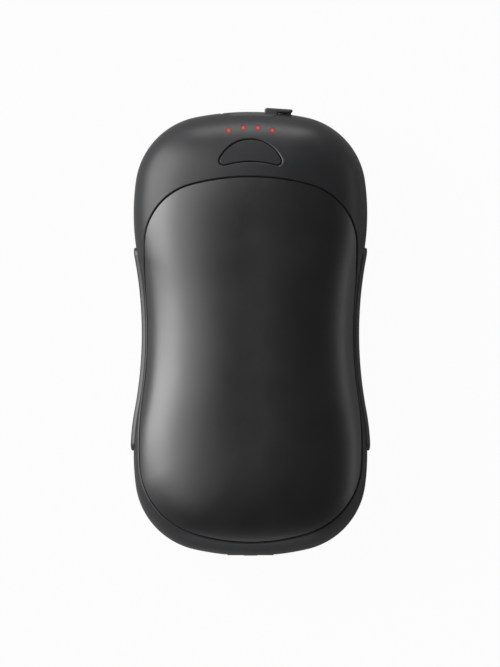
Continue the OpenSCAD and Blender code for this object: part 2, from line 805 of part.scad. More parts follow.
// Small parts on the boards
board_edge = 1.4;
link_w = 10;
link_t = 2;
link_cuts = 2;
plunger_sunk = 0.8;
switch_travel_room = button_travel + 2*seat_fit;
inductor_x = -10;
inductor_y = 42.5;
inductor_w = 7;
inductor_h = 3;
chip_w = 5;
chip_h = 0.9;
chip_in = 6;
chip_y = board_low_y + chip_in;
transistor_x = 10;
transistor_w = 3;
transistor_pitch = 4;
capacitor_x = 18.6;
capacitor_w = 1.3;
capacitor_l = 2;
capacitor_pitch = 3.4;
capacitor_count = 4;

module at_places(places) {
    for (p = places)
        translate([p[0], p[1], 0])
            children();
}

// What stays inside the front cover's cavity: bosses, ribs and the walls round both ends
module front_core() {
    at_places(screw_places)
        cylinder(d = boss_d, h = half_t, $fn = 48);
    at_places(indicator_posts)
        translate([0, 0, indicator_z])
            cylinder(d = post_d, h = half_t, $fn = 48);
    translate([0, 0, button_pad_z])
        linear_extrude(half_t)
            polygon(moon(button_pad_w));
    end_blocks();
    ear_ribs();
}

module rear_core() {
    at_places(screw_places)
        cylinder(d = boss_d, h = half_t, $fn = 48);
    at_places(main_posts)
        translate([0, 0, board_t - board_z])
            cylinder(d = post_d, h = half_t, $fn = 48);
    end_blocks();
    ear_ribs();
}

// Solid stock round the port insert and round the strap recess
module end_blocks() {
    translate([-block_w/2, block_y, 0])
        cube([block_w, top_y - block_y, block_h/2]);
    translate([-strap_block_w/2, -body_l/2, 0])
        cube([strap_block_w, body_l/2 + strap_block_y, strap_block_h/2]);
}

// Ribs that clamp the ears of the cell brackets
module ear_ribs() {
    for (s = [-1, 1])
        for (y = [upper_ear_y, lower_ear_y])
            translate([s*(cell_half + ear_reach/2 + rib_t) - ear_reach/2, y - rib_t/2, ear_h/2 + seat_fit])
                cube([ear_reach, rib_t, half_t]);
}

// What is cut out of both covers at the two ends
module end_cuts() {
    // seat of the flap and room for its hinge barrel
    translate([flap_x, 0, 0])
        along_y(flap_in_y - flap_gap/2, top_y + over)
            round_rect(flap_w + 2*flap_gap, flap_h + 2*flap_gap, flap_corner_r + flap_gap);
    translate([hinge_x, hinge_y, 0])
        cylinder(r = barrel_r + flap_gap, h = barrel_l + 2*flap_gap, center = true, $fn = 48);
    translate([hinge_x - barrel_r - flap_gap, hinge_y, -barrel_l/2 - flap_gap])
        cube([hinge_out + 2*barrel_r, hinge_depth + over, barrel_l + 2*flap_gap]);
    translate([hinge_x, hinge_y - barrel_r - flap_gap, -barrel_l/2 - flap_gap])
        cube([hinge_out + barrel_r, hinge_depth, barrel_l + 2*flap_gap]);
    // bores of the hinge pin, one in each cover
    translate([hinge_x, hinge_y, 0])
        cylinder(d = hinge_pin_d + 2*pin_fit, h = hinge_pin_l + 2*pin_fit, center = true, $fn = 32);
    // seat of the port insert with its two locking ribs
    along_y(block_y - over, top_y)
        round_rect(insert_w + 2*seat_fit, insert_h + 2*seat_fit, insert_r + seat_fit);
    along_y(rib_y - seat_fit, rib_y + rib_l + seat_fit)
        square([insert_w + 2*insert_rib + 2*seat_fit, rib_h + 2*seat_fit], center = true);
    // strap recess and the bores of its bar
    along_y(-body_l/2 - over, strap_floor_y)
        round_rect(strap_w, strap_h, strap_r);
    translate([0, bar_y + bar_pin_in, 0])
        rotate([0, 90, 0])
            cylinder(d = bar_pin_d + 2*pin_fit, h = bar_l + 2*pin_fit, center = true, $fn = 48);
}

// A cover's shell with its cavity and the recess for its plate
module cover_shell() {
    difference() {
        dome(0, outer_levels, 0);
        difference() {
            dome(wall, inner_levels, -over);
            children();
        }
        plate_recess(recess_d);
        linear_extrude(half_t + over)
            polygon(window_outline());
    }
}

// The tongue along the joint, or its groove: grown by a clearance and open to the cavity
module tongue(grow) {
    past = grow > 0 ? over : 0;
    translate([0, 0, -tongue_h - grow])
        linear_extrude(tongue_h + grow + past)
            difference() {
                polygon(body_outline(wall - tongue_w - grow));
                polygon(body_outline(wall + past));
            }
}

// Front half of the housing with the button opening and the light holes
module front_cover() {
    color("#2b2c2e")
        placed()
            difference() {
                union() {
                    cover_shell()
                        front_core();
                    tongue(0);
                }
                end_cuts();
                grip_pockets();
                linear_extrude(half_t + over)
                    polygon(moon(button_gap));
                translate([0, 0, flange_z - over])
                    linear_extrude(button_pad_z - flange_z + over)
                        polygon(moon(flange_pocket_w));
                at_places(dots)
                    cylinder(d = dot_d + 2*pin_fit, h = half_t + over, $fn = 32);
                translate([-guide_bar_w/2 - seat_fit, guide_low_y - over, guide_z - over])
                    cube([guide_bar_w + 2*seat_fit, guide_top_y + seat_fit - guide_low_y + over,
                          over + guide_bar_t + seat_fit]);
                at_places(screw_places)
                    cylinder(d = screw_d + 2*pin_fit, h = screw_l - screw_seat + screw_d/2, $fn = 32);
                at_places(indicator_posts)
                    translate([0, 0, indicator_z - over])
                        cylinder(d = board_screw_d + 2*pin_fit,
                            h = over + board_screw_l - indicator_t + board_screw_d/4, $fn = 32);
            }
}

// Rear half of the housing with the seats of the cover screws under its plate
module rear_cover() {
    color("#2b2c2e")
        placed()
            difference() {
                to_rear()
                    cover_shell()
                        rear_core();
                tongue(seat_fit);
                end_cuts();
                grip_pockets();
                at_places(screw_places) {
                    translate([0, 0, -half_t])
                        cylinder(d = screw_d + 4*pin_fit, h = half_t + over, $fn = 32);
                    translate([0, 0, -half_t])
                        cylinder(d = screw_head_d + 2*seat_fit, h = half_t - screw_seat, $fn = 48);
                }
                at_places(main_posts)
                    translate([0, 0, board_z - board_screw_l - board_screw_d/4])
                        cylinder(d = board_screw_d + 2*pin_fit, h = board_screw_l, $fn = 32);
            }
}

// Formed and blasted aluminium plate on the front face
module front_heat_plate() {
    color("#3a3a3c")
        placed()
            formed_plate(plate_t);
}

module rear_heat_plate() {
    color("#3a3a3c")
        placed()
            to_rear()
                formed_plate(plate_t);
}

// Adhesive band between a plate and its ledge
module front_gasket() {
    color("#c9c4b0")
        placed()
            gasket();
}

module rear_gasket() {
    color("#c9c4b0")
        placed()
            to_rear()
                gasket();
}

// Rubber strips let into both sides
module side_grip_right() {
    color("#1b1b1c")
        placed()
            grip_shape(0, grip_sunk, grip_proud, grip_chamfer);
}

module side_grip_left() {
    color("#1b1b1c")
        placed()
            mirror([1, 0, 0])
                grip_shape(0, grip_sunk, grip_proud, grip_chamfer);
}

// Half-moon button with the flange that keeps it in and the nub that works the switch
module power_button() {
    color("#303133")
        placed() {
            intersection() {
                dome(0, outer_levels, 0);
                translate([0, 0, flange_z])
                    linear_extrude(half_t)
                        polygon(moon(0));
            }
            translate([0, 0, flange_z])
                linear_extrude(flange_t)
                    polygon(moon(flange_w));
            translate([0, switch_y, flange_z - nub_t])
                cylinder(d = nub_d, h = nub_t + flange_t/2, $fn = 48);
        }
}

// Clear light guide: four rods on a bar over the indicator lights
module led_light_guide() {
    color("#d84a40")
        placed()
            intersection() {
                dome(0, outer_levels, 0);
                union() {
                    at_places(dots)
                        translate([0, 0, guide_z])
                            cylinder(d = dot_d, h = half_t, $fn = 32);
                    translate([-guide_bar_w/2, guide_low_y, guide_z])
                        cube([guide_bar_w, guide_top_y - guide_low_y, guide_bar_t]);
                }
            }
}

// Flap over the charging port: its skin follows the end of the body both ways
module port_flap() {
    drop = end_in_at(flap_h/2);
    section_r = (pow(flap_h/2, 2) + drop*drop)/(2*drop);
    right_x = flap_x + flap_w/2;
    color("#2e2f31")
        placed()
            difference() {
                union() {
                    intersection() {
                        translate([flap_x, 0, 0])
                            along_y(flap_in_y, top_y + over)
                                round_rect(flap_w, flap_h, flap_corner_r);
                        translate([0, top_y - top_end_r, 0])
                            rotate_extrude($fn = 128)
                                translate([top_end_r - section_r, 0])
                                    circle(r = section_r, $fn = 128);
                    }
                    along_y(flap_in_y - plug_l, flap_in_y)
                        difference() {
                            round_rect(plug_w, plug_h, insert_r);
                            round_rect(plug_w - 2*plug_t, plug_h - 2*plug_t, insert_r/2);
                        }
                    translate([hinge_x, hinge_y, 0])
                        cylinder(r = barrel_r, h = barrel_l, center = true, $fn = 48);
                    translate([hinge_x, flap_in_y, -barrel_l/2])
                        cube([hinge_out + barrel_r, hinge_y + barrel_r - flap_in_y, barrel_l]);
                    translate([0, 0, -lip_w/2])
                        linear_extrude(lip_w)
                            lip_profile(right_x);
                }
                translate([hinge_x, hinge_y, 0])
                    cylinder(d = hinge_pin_d + 2*pin_fit, h = barrel_l + over, center = true, $fn = 32);
            }
}

// The pull lip: a root that stands on the flap and a tip that reaches past its end
module lip_profile(right_x) {
    root = [right_x - lip_root_in + lip_root_t/2, top_y + lip_root_rise - lip_root_t/2];
    nose = [right_x + lip_reach - lip_nose_t/2, top_y + lip_nose_rise - lip_nose_t/2];
    hull() {
        translate(root)
            circle(d = lip_root_t, $fn = 32);
        translate(nose)
            circle(d = lip_nose_t, $fn = 32);
    }
    translate([root[0] - lip_root_t/2, flap_in_y])
        square([lip_root_in - flap_gap, root[1] - flap_in_y]);
}

// Steel pin that the flap turns on
module flap_hinge_pin() {
    color("#b8babd")
        placed()
            translate([hinge_x, hinge_y, 0])
                cylinder(d = hinge_pin_d, h = hinge_pin_l, center = true, $fn = 32);
}

// Moulded insert round the mouth of the charging connector
module port_insert() {
    color("#1f2022")
        placed()
            difference() {
                union() {
                    along_y(insert_back_y, insert_y)
                        round_rect(insert_w, insert_h, insert_r);
                    along_y(rib_y, rib_y + rib_l)
                        square([insert_w + 2*insert_rib, rib_h], center = true);
                }
                along_y(pocket_floor_y, insert_y + over)
                    round_rect(pocket_w, pocket_h, insert_r/2);
                along_y(insert_back_y - over, insert_y)
                    round_rect(usb_w + 2*seat_fit, usb_h + 2*seat_fit, usb_r + seat_fit);
            }
}

// Steel bar across the strap recess, thicker in the middle, with a pin at each end
module strap_bar() {
    color("#4a4c50")
        placed()
            union() {
                translate([0, bar_y, 0])
                    rotate([0, 90, 0]) {
                        cylinder(d = bar_d, h = strap_w - 2*pin_fit, center = true, $fn = 48);
                        cylinder(d = bar_d + 2*collar_step, h = collar_l, center = true, $fn = 48);
                    }
                translate([0, bar_y + bar_pin_in, 0])
                    rotate([0, 90, 0])
                        cylinder(d = bar_pin_d, h = bar_l, center = true, $fn = 48);
            }
}

// A pan-head screw along Z with its seat at the origin and its shank going up
module screw(d, l, head_d, head_h) {
    difference() {
        union() {
            cylinder(d = d, h = l, $fn = 32);
            translate([0, 0, -head_h])
                cylinder(d = head_d, h = head_h, $fn = 48);
        }
        translate([0, 0, -head_h - over])
            for (a = [0, 90])
                rotate([0, 0, a])
                    translate([-head_d/3, -head_d/14, 0])
                        cube([2*head_d/3, head_d/7, over + head_h/2]);
    }
}

module cover_screws() {
    color("#9a9da1")
        placed()
            at_places(screw_places)
                translate([0, 0, -screw_seat])
                    screw(screw_d, screw_l, screw_head_d, screw_head_h);
}

module board_screws() {
    color("#9a9da1")
        placed() {
            at_places(main_posts)
                translate([0, 0, board_z])
                    mirror([0, 0, 1])
                        screw(board_screw_d, board_screw_l, board_head_d, board_head_h);
            at_places(indicator_posts)
                translate([0, 0, indicator_z - indicator_t])
                    screw(board_screw_d, board_screw_l, board_head_d, board_head_h);
        }
}

// One cell: a can with a groove under its crimped top, a cap at the top and a flat bottom
module cell(x) {
    r = cell_d/2;
    can_l = cell_l - cap_h - ring_t;
    translate([x, cell_top_y - cell_l, 0])
        rotate([-90, 0, 0])
            rotate_extrude($fn = 64)
                polygon([
                    [0, 0], [r - can_round, 0], [r, can_round], [r, can_l - groove_in],
                    [r - groove_r, can_l - groove_in + groove_r], [r, can_l - groove_in + 2*groove_r],
                    [r, can_l - can_round], [r - can_round, can_l], [cap_r, can_l],
                    [cap_r, cell_l], [0, cell_l]
                ]);
}

module battery_cell_left() {
    color("#2f6fb0")
        placed()
            cell(-cell_pitch/2);
}

module battery_cell_right() {
    color("#2f6fb0")
        placed()
            cell(cell_pitch/2);
}

// Insulating rings round the caps of both cells
module cell_end_rings() {
    color("#e8e6df")
        placed()
            for (s = [-1, 1])
                translate([s*cell_pitch/2, 0, 0])
                    along_y(cell_top_y - ring_t - cap_h/2, cell_top_y - cap_h/2)
                        difference() {
                            circle(r = cell_d/2 - can_round, $fn = 64);
                            circle(r = cap_r + seat_fit, $fn = 48);
                        }
}

// Nickel strips that join the two cells side by side
module positive_strip() {
    color("#c6c8cb")
        placed()
            along_y(cell_top_y, cell_top_y + strip_t)
                round_rect(cell_pitch + strip_w, strip_w, strip_w/4);
}

module negative_strip() {
    color("#c6c8cb")
        placed()
            along_y(cell_top_y - cell_l - strip_t, cell_top_y - cell_l)
                round_rect(cell_pitch + strip_w, strip_w, strip_w/4);
}

// End bracket with two collars for the cells and an ear at each side, its open side at y = 0
module bracket() {
    difference() {
        union() {
            along_y(0, bracket_l)
                round_rect(2*cell_half, bracket_h, bracket_h/6);
            along_y(collar_y - ear_l/2 - rib_t/2, bracket_l - bracket_t/3)
                square([2*(cell_half + ear_reach), ear_h], center = true);
        }
        for (s = [-1, 1])
            translate([s*cell_pitch/2, 0, 0]) {
                along_y(-over, collar_y + seat_fit)
                    circle(d = cell_d + 2*seat_fit, $fn = 64);
                along_y(0, bracket_l + over)
                    circle(d = strip_w, $fn = 48);
            }
        along_y(collar_y - over, collar_y + seat_fit + 2*strip_t)
            square([cell_pitch + strip_w + 2*strip_t, strip_w + 2*strip_t], center = true);
        // slot in the end plate for the negative lead
        translate([-lead_d/2 - seat_fit, collar_y, -bracket_h/2 - over])
            cube([lead_d + 2*seat_fit, bracket_t + over, bracket_h/2 + over + lead_d/2 + seat_fit]);
    }
}

module cell_bracket_upper() {
    color("#6d6f72")
        placed()
            translate([0, cell_top_y - collar_y, 0])
                bracket();
}

module cell_bracket_lower() {
    color("#6d6f72")
        placed()
            translate([0, cell_top_y - cell_l + collar_y, 0])
                mirror([0, 1, 0])
                    bracket();
}

// What cuts the top end of the sheets under a plate straight
module sheet_end() {
    translate([-lobe_w/2, sheet_top_y, 0])
        cube([lobe_w, body_l/2, half_t + over]);
}

// Heater film bonded under the plate, with its two solder tabs at the top
module heater_film() {
    difference() {
        formed_sheet(film_depth, film_depth + film_t);
        sheet_end();
    }
    for (s = [-1, 1])
        translate([s*lead_x, tab_y, tab_z])
            linear_extrude(tab_t + film_gap/2)
                square([tab_w, 2*tab_w], center = true);
}

module front_heater_film() {
    color("#b5722e")
        placed()
            heater_film();
}

module rear_heater_film() {
    color("#b5722e")
        placed()
            to_rear()
                heater_film();
}

// Soft pad that presses a heater film against its plate and keeps the heat off the cells
module insulation_pad() {
    difference() {
        formed_sheet(pad_depth, pad_depth + pad_t);
        sheet_end();
        // the pad ends at the lower bracket
        translate([-lobe_w/2, -body_l/2, 0])
            cube([lobe_w, body_l/2 + cell_top_y - cell_l + collar_y, half_t + over]);
        // openings for the sensor and for the solder tabs
        translate([0, bead_y, 0])
            cylinder(d = bead_d + 4*seat_fit, h = half_t, $fn = 32);
        translate([-lead_x - tab_w, tab_y - tab_w - seat_fit, 0])
            cube([2*(lead_x + tab_w), body_l/2, half_t]);
    }
}

module front_insulation_pad() {
    color("#f0efe9")
        placed()
            insulation_pad();
}

module rear_insulation_pad() {
    color("#f0efe9")
        placed()
            to_rear()
                insulation_pad();
}

// Temperature sensor: a bead on the heater film between the two cells, with its sleeved legs
module temperature_sensor() {
    low_z = bead_z - bead_d;
    color("#20242c")
        placed()
            union() {
                translate([0, bead_y, bead_z])
                    cylinder(d = bead_d, h = pad_t, $fn = 32);
                wire([[0, bead_y, bead_z + pad_t/2], [0, bead_y, low_z],
                      [0, board_low_y - wire_d, low_z],
                      [0, board_low_y + wire_d, board_z + wire_d/4]], wire_d);
            }
}

// A wire along a list of points in one upright plane across X, mitred at its bends
wire_facets = 12;
module wire(route, d) {
    n = wire_facets;
    last = len(route) - 1;
    sideways = [for (i = [0:last - 1]) let (u = unit(route[i + 1] - route[i])) [0, -u[2], u[1]]];
    mitre = [for (i = [0:last])
        let (a = sideways[max(i - 1, 0)], b = sideways[min(i, last - 1)])
        (a + b)/(1 + a*b)];
    points = [for (i = [0:last]) for (j = [0:n - 1])
        let (t = 360*(j + 1/2)/n)
        route[i] + d/2*cos(t)*[1, 0, 0] + d/2*sin(t)*mitre[i]];
    sides = [for (i = [0:last - 1]) for (j = [0:n - 1])
        let (
            a = i*n + j,
            b = i*n + (j + 1)%n
        )
        each [[a, b, b + n], [a, b + n, a + n]]];
    start = [[for (j = [n - 1:-1:0]) j]];
    finish = [[for (j = [0:n - 1]) last*n + j]];
    polyhedron(points, concat(sides, start, finish), convexity = 4);
}

// Plan of a board between two heights, inside the covers
module board_plan(w, low_y, high_y) {
    intersection() {
        translate([-w/2, low_y])
            square([w, high_y - low_y]);
        polygon(body_outline(wall + board_edge));
    }
}

module main_board() {
    color("#1f5b3a")
        placed()
            translate([0, 0, board_z - board_t])
                linear_extrude(board_t)
                    difference() {
                        board_plan(board_w, board_low_y, board_top_y);
                        at_places(main_posts)
                            circle(d = board_screw_d + 2*seat_fit, $fn = 32);
                    }
}

module indicator_board() {
    color("#1f5b3a")
        placed()
            translate([0, 0, indicator_z - indicator_t])
                linear_extrude(indicator_t)
                    difference() {
                        board_plan(indicator_w, indicator_low_y, indicator_top_y);
                        at_places(indicator_posts)
                            circle(d = board_screw_d + 2*seat_fit, $fn = 32);
                    }
}

// Pin header that joins the two boards
module board_link() {
    gap = indicator_z - indicator_t - board_z;
    color("#151617")
        placed()
            difference() {
                translate([-link_w/2, indicator_low_y + link_t/2, board_z])
                    cube([link_w, link_t, gap]);
                for (i = [-link_cuts:link_cuts])
                    translate([i*link_w/(2*link_cuts + 2) - link_t/8, indicator_low_y + link_t/2 - over,
                               board_z + gap/4])
                        cube([link_t/4, over + link_t/5, gap/2]);
            }
}

// Sheet-steel shell of the charging connector, with its two mounting feet
module usb_shell() {
    color("#b9bcc0")
        placed()
            union() {
                difference() {
                    along_y(usb_mouth_y - usb_l, usb_mouth_y)
                        round_rect(usb_w, usb_h, usb_r);
                    along_y(usb_mouth_y - usb_l + usb_sheet, usb_mouth_y + over)
                        round_rect(usb_w - 2*usb_sheet, usb_h - 2*usb_sheet, usb_r - usb_sheet);
                }
                for (s = [-1, 1])
                    translate([s*(usb_w/2 + usb_sheet/2) - usb_sheet, usb_mouth_y - 0.75*usb_l, board_z])
                        cube([2*usb_sheet, usb_l/4, usb_h/2]);
            }
}

// Insulator of the charging connector with its tongue
module usb_tongue() {
    color("#101112")
        placed()
            union() {
                along_y(usb_mouth_y - usb_l + usb_sheet, usb_mouth_y - 0.7*usb_l)
                    round_rect(usb_w - 2*usb_sheet - seat_fit/2, usb_h - 2*usb_sheet - seat_fit/2,
                        usb_r - usb_sheet);
                along_y(usb_mouth_y - 0.7*usb_l, usb_mouth_y - usb_l/8)
                    square([usb_tongue_w, usb_tongue_t], center = true);
            }
}

// Body of the button switch with a metal cover plate
module switch_body() {
    color("#2a2a2c")
        placed()
            translate([0, switch_y, indicator_z])
                difference() {
                    translate([-switch_w/2, -switch_w/2, 0])
                        cube([switch_w, switch_w, switch_h]);
                    translate([0, 0, switch_h - plunger_sunk - switch_travel_room])
                        cylinder(d = plunger_d + 4*pin_fit, h = switch_h, $fn = 48);
                }
}

// Plunger of the button switch
module switch_plunger() {
    color("#8c1f1f")
        placed()
            translate([0, switch_y, indicator_z + switch_h - plunger_sunk])
                cylinder(d = plunger_d, h = plunger_sunk + plunger_h, $fn = 48);
}

module indicator_leds() {
    color("#f2e7c9")
        placed()
            for (p = dots)
                translate([p[0] - led_l/2, led_y - led_w/2, indicator_z])
                    cube([led_l, led_w, led_h]);
}

// Shielded inductor of the charger and heater supply
module power_inductor() {
    color("#4c4d50")
        placed()
            translate([inductor_x, inductor_y, board_z])
                linear_extrude(inductor_h)
                    round_rect(inductor_w, inductor_w, inductor_w/8);
}

module controller_chip() {
    color("#17181a")
        placed()
            translate([-chip_w/2, chip_y - chip_w/2, board_z])
                cube([chip_w, chip_w, chip_h]);
}

module power_transistors() {
    color("#17181a")
        placed()
            for (i = [-1, 0, 1])
                translate([transistor_x - transistor_w/2, chip_y - transistor_w/2 + i*transistor_pitch,
                           board_z])
                    cube([transistor_w, transistor_w, chip_h]);
}

module chip_capacitors() {
    color("#b79a6a")
        placed()
            for (s = [-1, 1])
                for (i = [0:capacitor_count - 1])
                    translate([s*capacitor_x - capacitor_w/2,
                               board_low_y + capacitor_l + i*capacitor_pitch, board_z])
                        cube([capacitor_w, capacitor_l, chip_h]);
}

// Lead from the positive strip to the main board
module positive_lead() {
    x = -cell_pitch/2;
    color("#c02a24")
        placed()
            wire([[x, cell_top_y + strip_t + lead_d/2, 0], [x, board_low_y - lead_d, 0],
                  [x, board_low_y + lead_d, board_z + lead_d/2]], lead_d);
}

// Lead from the negative strip, along the valley between the cells, to the main board
module negative_lead() {
    z = -valley_z;
    low = cell_top_y - cell_l - strip_t - lead_d/2;
    color("#1a1a1a")
        placed()
            wire([[0, low, 0], [0, low - bracket_t - lead_d, z/2], [0, low - bracket_t - lead_d, z],
                  [0, cell_top_y + bracket_t + lead_d, z],
                  [0, board_low_y + lead_d, board_z - board_t - lead_d/2]], lead_d);
}

// Two leads from a heater film's tabs to the main board
module heater_leads(end_z) {
    z = tab_z - wire_d/2 - film_gap/2;
    down_y = cell_top_y + seat_fit + bracket_t + wire_d;
    for (s = [-1, 1])
        wire([[s*lead_x, tab_y, z], [s*lead_x, down_y, z],
              [s*lead_x, down_y, end_z + 2*wire_d],
              [s*lead_x, board_low_y + wire_d, end_z + wire_d/2]], wire_d);
}

module front_heater_leads() {
    color("#d8d8d2")
        placed()
            heater_leads(board_z);
}

module rear_heater_leads() {
    color("#d8d8d2")
        placed()
            to_rear()
                heater_leads(board_t - board_z);
}

front_cover();
rear_cover();
front_heat_plate();
rear_heat_plate();
front_gasket();
rear_gasket();
side_grip_left();
side_grip_right();
power_button();
led_light_guide();
port_flap();
flap_hinge_pin();
port_insert();
strap_bar();
cover_screws();
battery_cell_left();
battery_cell_right();
cell_end_rings();
positive_strip();
negative_strip();
cell_bracket_upper();
cell_bracket_lower();
front_heater_film();
rear_heater_film();
front_insulation_pad();
rear_insulation_pad();
temperature_sensor();
main_board();
indicator_board();
board_link();
board_screws();
usb_shell();
usb_tongue();
switch_body();
switch_plunger();
indicator_leds();
power_inductor();
controller_chip();
power_transistors();
chip_capacitors();
positive_lead();
negative_lead();
front_heater_leads();
rear_heater_leads();
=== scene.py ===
import math

import bmesh
import bpy
import numpy as np
from mathutils import Matrix, Vector
from mathutils.geometry import delaunay_2d_cdt


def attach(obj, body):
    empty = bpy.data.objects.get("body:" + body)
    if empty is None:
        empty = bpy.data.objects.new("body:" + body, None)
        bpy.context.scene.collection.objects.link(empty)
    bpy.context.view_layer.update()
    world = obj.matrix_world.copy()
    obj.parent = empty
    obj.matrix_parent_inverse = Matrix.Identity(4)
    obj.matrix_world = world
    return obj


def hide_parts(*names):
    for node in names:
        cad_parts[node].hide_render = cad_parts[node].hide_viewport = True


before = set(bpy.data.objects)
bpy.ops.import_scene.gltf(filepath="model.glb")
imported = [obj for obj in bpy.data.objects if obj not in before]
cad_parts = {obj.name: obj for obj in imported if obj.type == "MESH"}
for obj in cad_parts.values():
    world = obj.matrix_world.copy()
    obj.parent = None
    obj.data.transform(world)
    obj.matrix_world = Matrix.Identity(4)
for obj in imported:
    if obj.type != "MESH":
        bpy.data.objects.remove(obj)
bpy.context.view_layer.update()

# ==================================
# Table, camera and lamps
# The warmer lies on its rear plate on a white table and is seen from straight above through a
# long lens. A large soft lamp stands low on the left with a smaller one over it, and weak ones
# stand at the head, the right and the foot.
# ==================================
class Plug:
    """An output socket of a node tree that takes part in sums, and adds further nodes."""

    def __init__(self, tree, socket=None):
        self.tree = tree
        self.socket = socket

    def add(self, kind, settings=None, values=None, out=0):
        """A new node of any type: settings first, then its sockets' values or links."""
        node = self.tree.nodes.new(kind)
        for key, value in (settings or {}).items():
            if key == "stops":
                while len(node.color_ramp.elements) < len(value):
                    node.color_ramp.elements.new(1)
                for element, (place, tone) in zip(node.color_ramp.elements, value):
                    element.position = place
                    element.color = (tone, tone, tone, 1)
            else:
                setattr(node, key, value)
        for key, value in (values or {}).items():
            if isinstance(value, Plug):
                self.tree.links.new(value.socket, node.inputs[key])
            else:
                node.inputs[key].default_value = value
        return Plug(self.tree, node.outputs[out] if len(node.outputs) else None)

    def maths(self, operation, *terms):
        return self.add("ShaderNodeMath", {"operation": operation}, dict(enumerate(terms)))

    def __add__(self, other):
        return self.maths("ADD", self, other)

    def __sub__(self, other):
        return self.maths("SUBTRACT", self, other)

    def __rsub__(self, other):
        return self.maths("SUBTRACT", other, self)

    def __mul__(self, other):
        return self.maths("MULTIPLY", self, other)

    def __truediv__(self, other):
        return self.maths("DIVIDE", self, other)

    def __rtruediv__(self, other):
        return self.maths("DIVIDE", other, self)

    def __pow__(self, other):
        return self.maths("POWER", self, other)

    def __rpow__(self, other):
        return self.maths("POWER", other, self)

    __radd__ = __add__
    __rmul__ = __mul__


def new_material(name):
    """An empty material, and the start of its tree."""
    material = bpy.data.materials.new(name)
    material.use_nodes = True
    material.node_tree.nodes.clear()
    return material, Plug(material.node_tree)


def background_rays(start):
    """1 for a ray that sees the background, straight or through something clear, else 0."""
    return (start.add("ShaderNodeLightPath", out="Is Camera Ray")
            + start.add("ShaderNodeLightPath", out="Is Transmission Ray"))


def mesh_of(name, points, faces):
    mesh = bpy.data.meshes.new(name)
    mesh.from_pydata([tuple(p) for p in points], [], faces)
    return mesh


def put(name, data):
    """A new object in the scene."""
    made = bpy.data.objects.new(name, data)
    bpy.context.scene.collection.objects.link(made)
    return made


white = (1, 1, 1, 1)
floor_half = 6.0
table_white = (0.5, 0.5, 0.5, 1)
table_glow_share = 0.965  # the rest lets the shadow show

floor_material, start = new_material("table_white")
matt = start.add("ShaderNodeBsdfDiffuse", None, {"Color": table_white})
glow = start.add("ShaderNodeEmission", None, {"Color": white, "Strength": 1.0})
mixed = start.add("ShaderNodeMixShader", None,
                  {0: background_rays(start) * table_glow_share, 1: matt, 2: glow})
start.add("ShaderNodeOutputMaterial", None, {"Surface": mixed})

floor_corners = [(x * floor_half, y * floor_half, 0)
                 for x, y in ((-1, -1), (1, -1), (1, 1), (-1, 1))]
floor = put("table", mesh_of("table", floor_corners, [(0, 1, 2, 3)]))
floor.data.materials.append(floor_material)

view_middle = Vector((-0.000128, -0.000402, 0.014))
lens_length = 900  # mm, so long that the sides of the body hardly lean
view_height = 0.18029  # m, what the frame's longer side takes in
sensor = 36
clip_near, clip_far = 0.1, 50
camera_data = bpy.data.cameras.new("camera")
camera_data.lens = lens_length
camera_data.sensor_width = sensor
camera_data.clip_start = clip_near
camera_data.clip_end = clip_far
camera = put("camera", camera_data)
camera.location = view_middle + Vector((0, 0, view_height * lens_length / sensor))
bpy.context.scene.camera = camera

lamp_distance = 1.2
foot_tint = (0.92, 0.97, 1.0)


def lamp(name, azimuth, height, wide, tall, power, tint=(1, 1, 1)):
    """A soft box aimed at the warmer. Azimuth 0 is on its right and 90 at its head, and height
    is over the table, both in degrees. The sides are in metres and the power in watts."""
    data = bpy.data.lights.new(name, "AREA")
    data.shape = "RECTANGLE"
    data.size = wide
    data.size_y = tall
    data.energy = power
    data.color = tint
    lamp_object = put(name, data)
    a, e = math.radians(azimuth), math.radians(height)
    way = Vector((math.cos(a) * math.cos(e), math.sin(a) * math.cos(e), math.sin(e)))
    lamp_object.location = view_middle + way * lamp_distance
    lamp_object.rotation_mode = "QUATERNION"
    lamp_object.rotation_quaternion = way.to_track_quat("Z", "Y")
    lamp_object.visible_camera = False


lamp("key_left", 161, 25.3, 1.08, 0.99, 18.2)
lamp("upper_left", 154, 60.4, 1.81, 0.5, 3.9)
lamp("head_lamp", 90, 14, 1.0, 0.3, 5.0)
lamp("right_lamp", 0, 10, 1.2, 0.3, 0.9)
lamp("foot_lamp", -90, 2, 1.2, 0.2, 1.4, foot_tint)

# The room is brightest at the height of the table and nearly black overhead
room_stops = [(0.0, 0.36), (0.25, 0.12), (0.6, 0.05), (1.0, 0.05)]
world = bpy.data.worlds.new("studio")
world.use_nodes = True
world.node_tree.nodes.clear()
bpy.context.scene.world = world
sky = Plug(world.node_tree)
direction = sky.add("ShaderNodeTexCoord")
height = sky.add("ShaderNodeSeparateXYZ", None, {0: direction}, out=2)
room = sky.add("ShaderNodeValToRGB", {"stops": room_stops},
               {0: height.maths("ABSOLUTE", height)})
dim = sky.add("ShaderNodeBackground", None, {"Color": room, "Strength": 1.0})
bright = sky.add("ShaderNodeBackground", None, {"Color": white, "Strength": 1.0})
backdrop = sky.add("ShaderNodeMixShader", None, {0: background_rays(sky), 1: dim, 2: bright})
sky.add("ShaderNodeOutputWorld", None, {"Surface": backdrop})
bpy.context.scene.view_settings.view_transform = "Standard"


# ==================================
# Front and rear covers
# Two halves injection-moulded in black ABS with a fine spark-eroded grain. They meet on a
# tongue and groove at the waistline, leave a hair-wide parting line, and are screwed together.
# ==================================
half_t = 14.0  # mm, as all sizes of pieces here
body_l = 120.0
ridge_share = 0.55
flat_share = 0.1
fullness = 2.2
middle_shift = 0.475  # how far the middle of the body is from the middle of the object's box
outline_facets = (10, 22, 14, 12)
outline_count = 4 * sum(outline_facets)


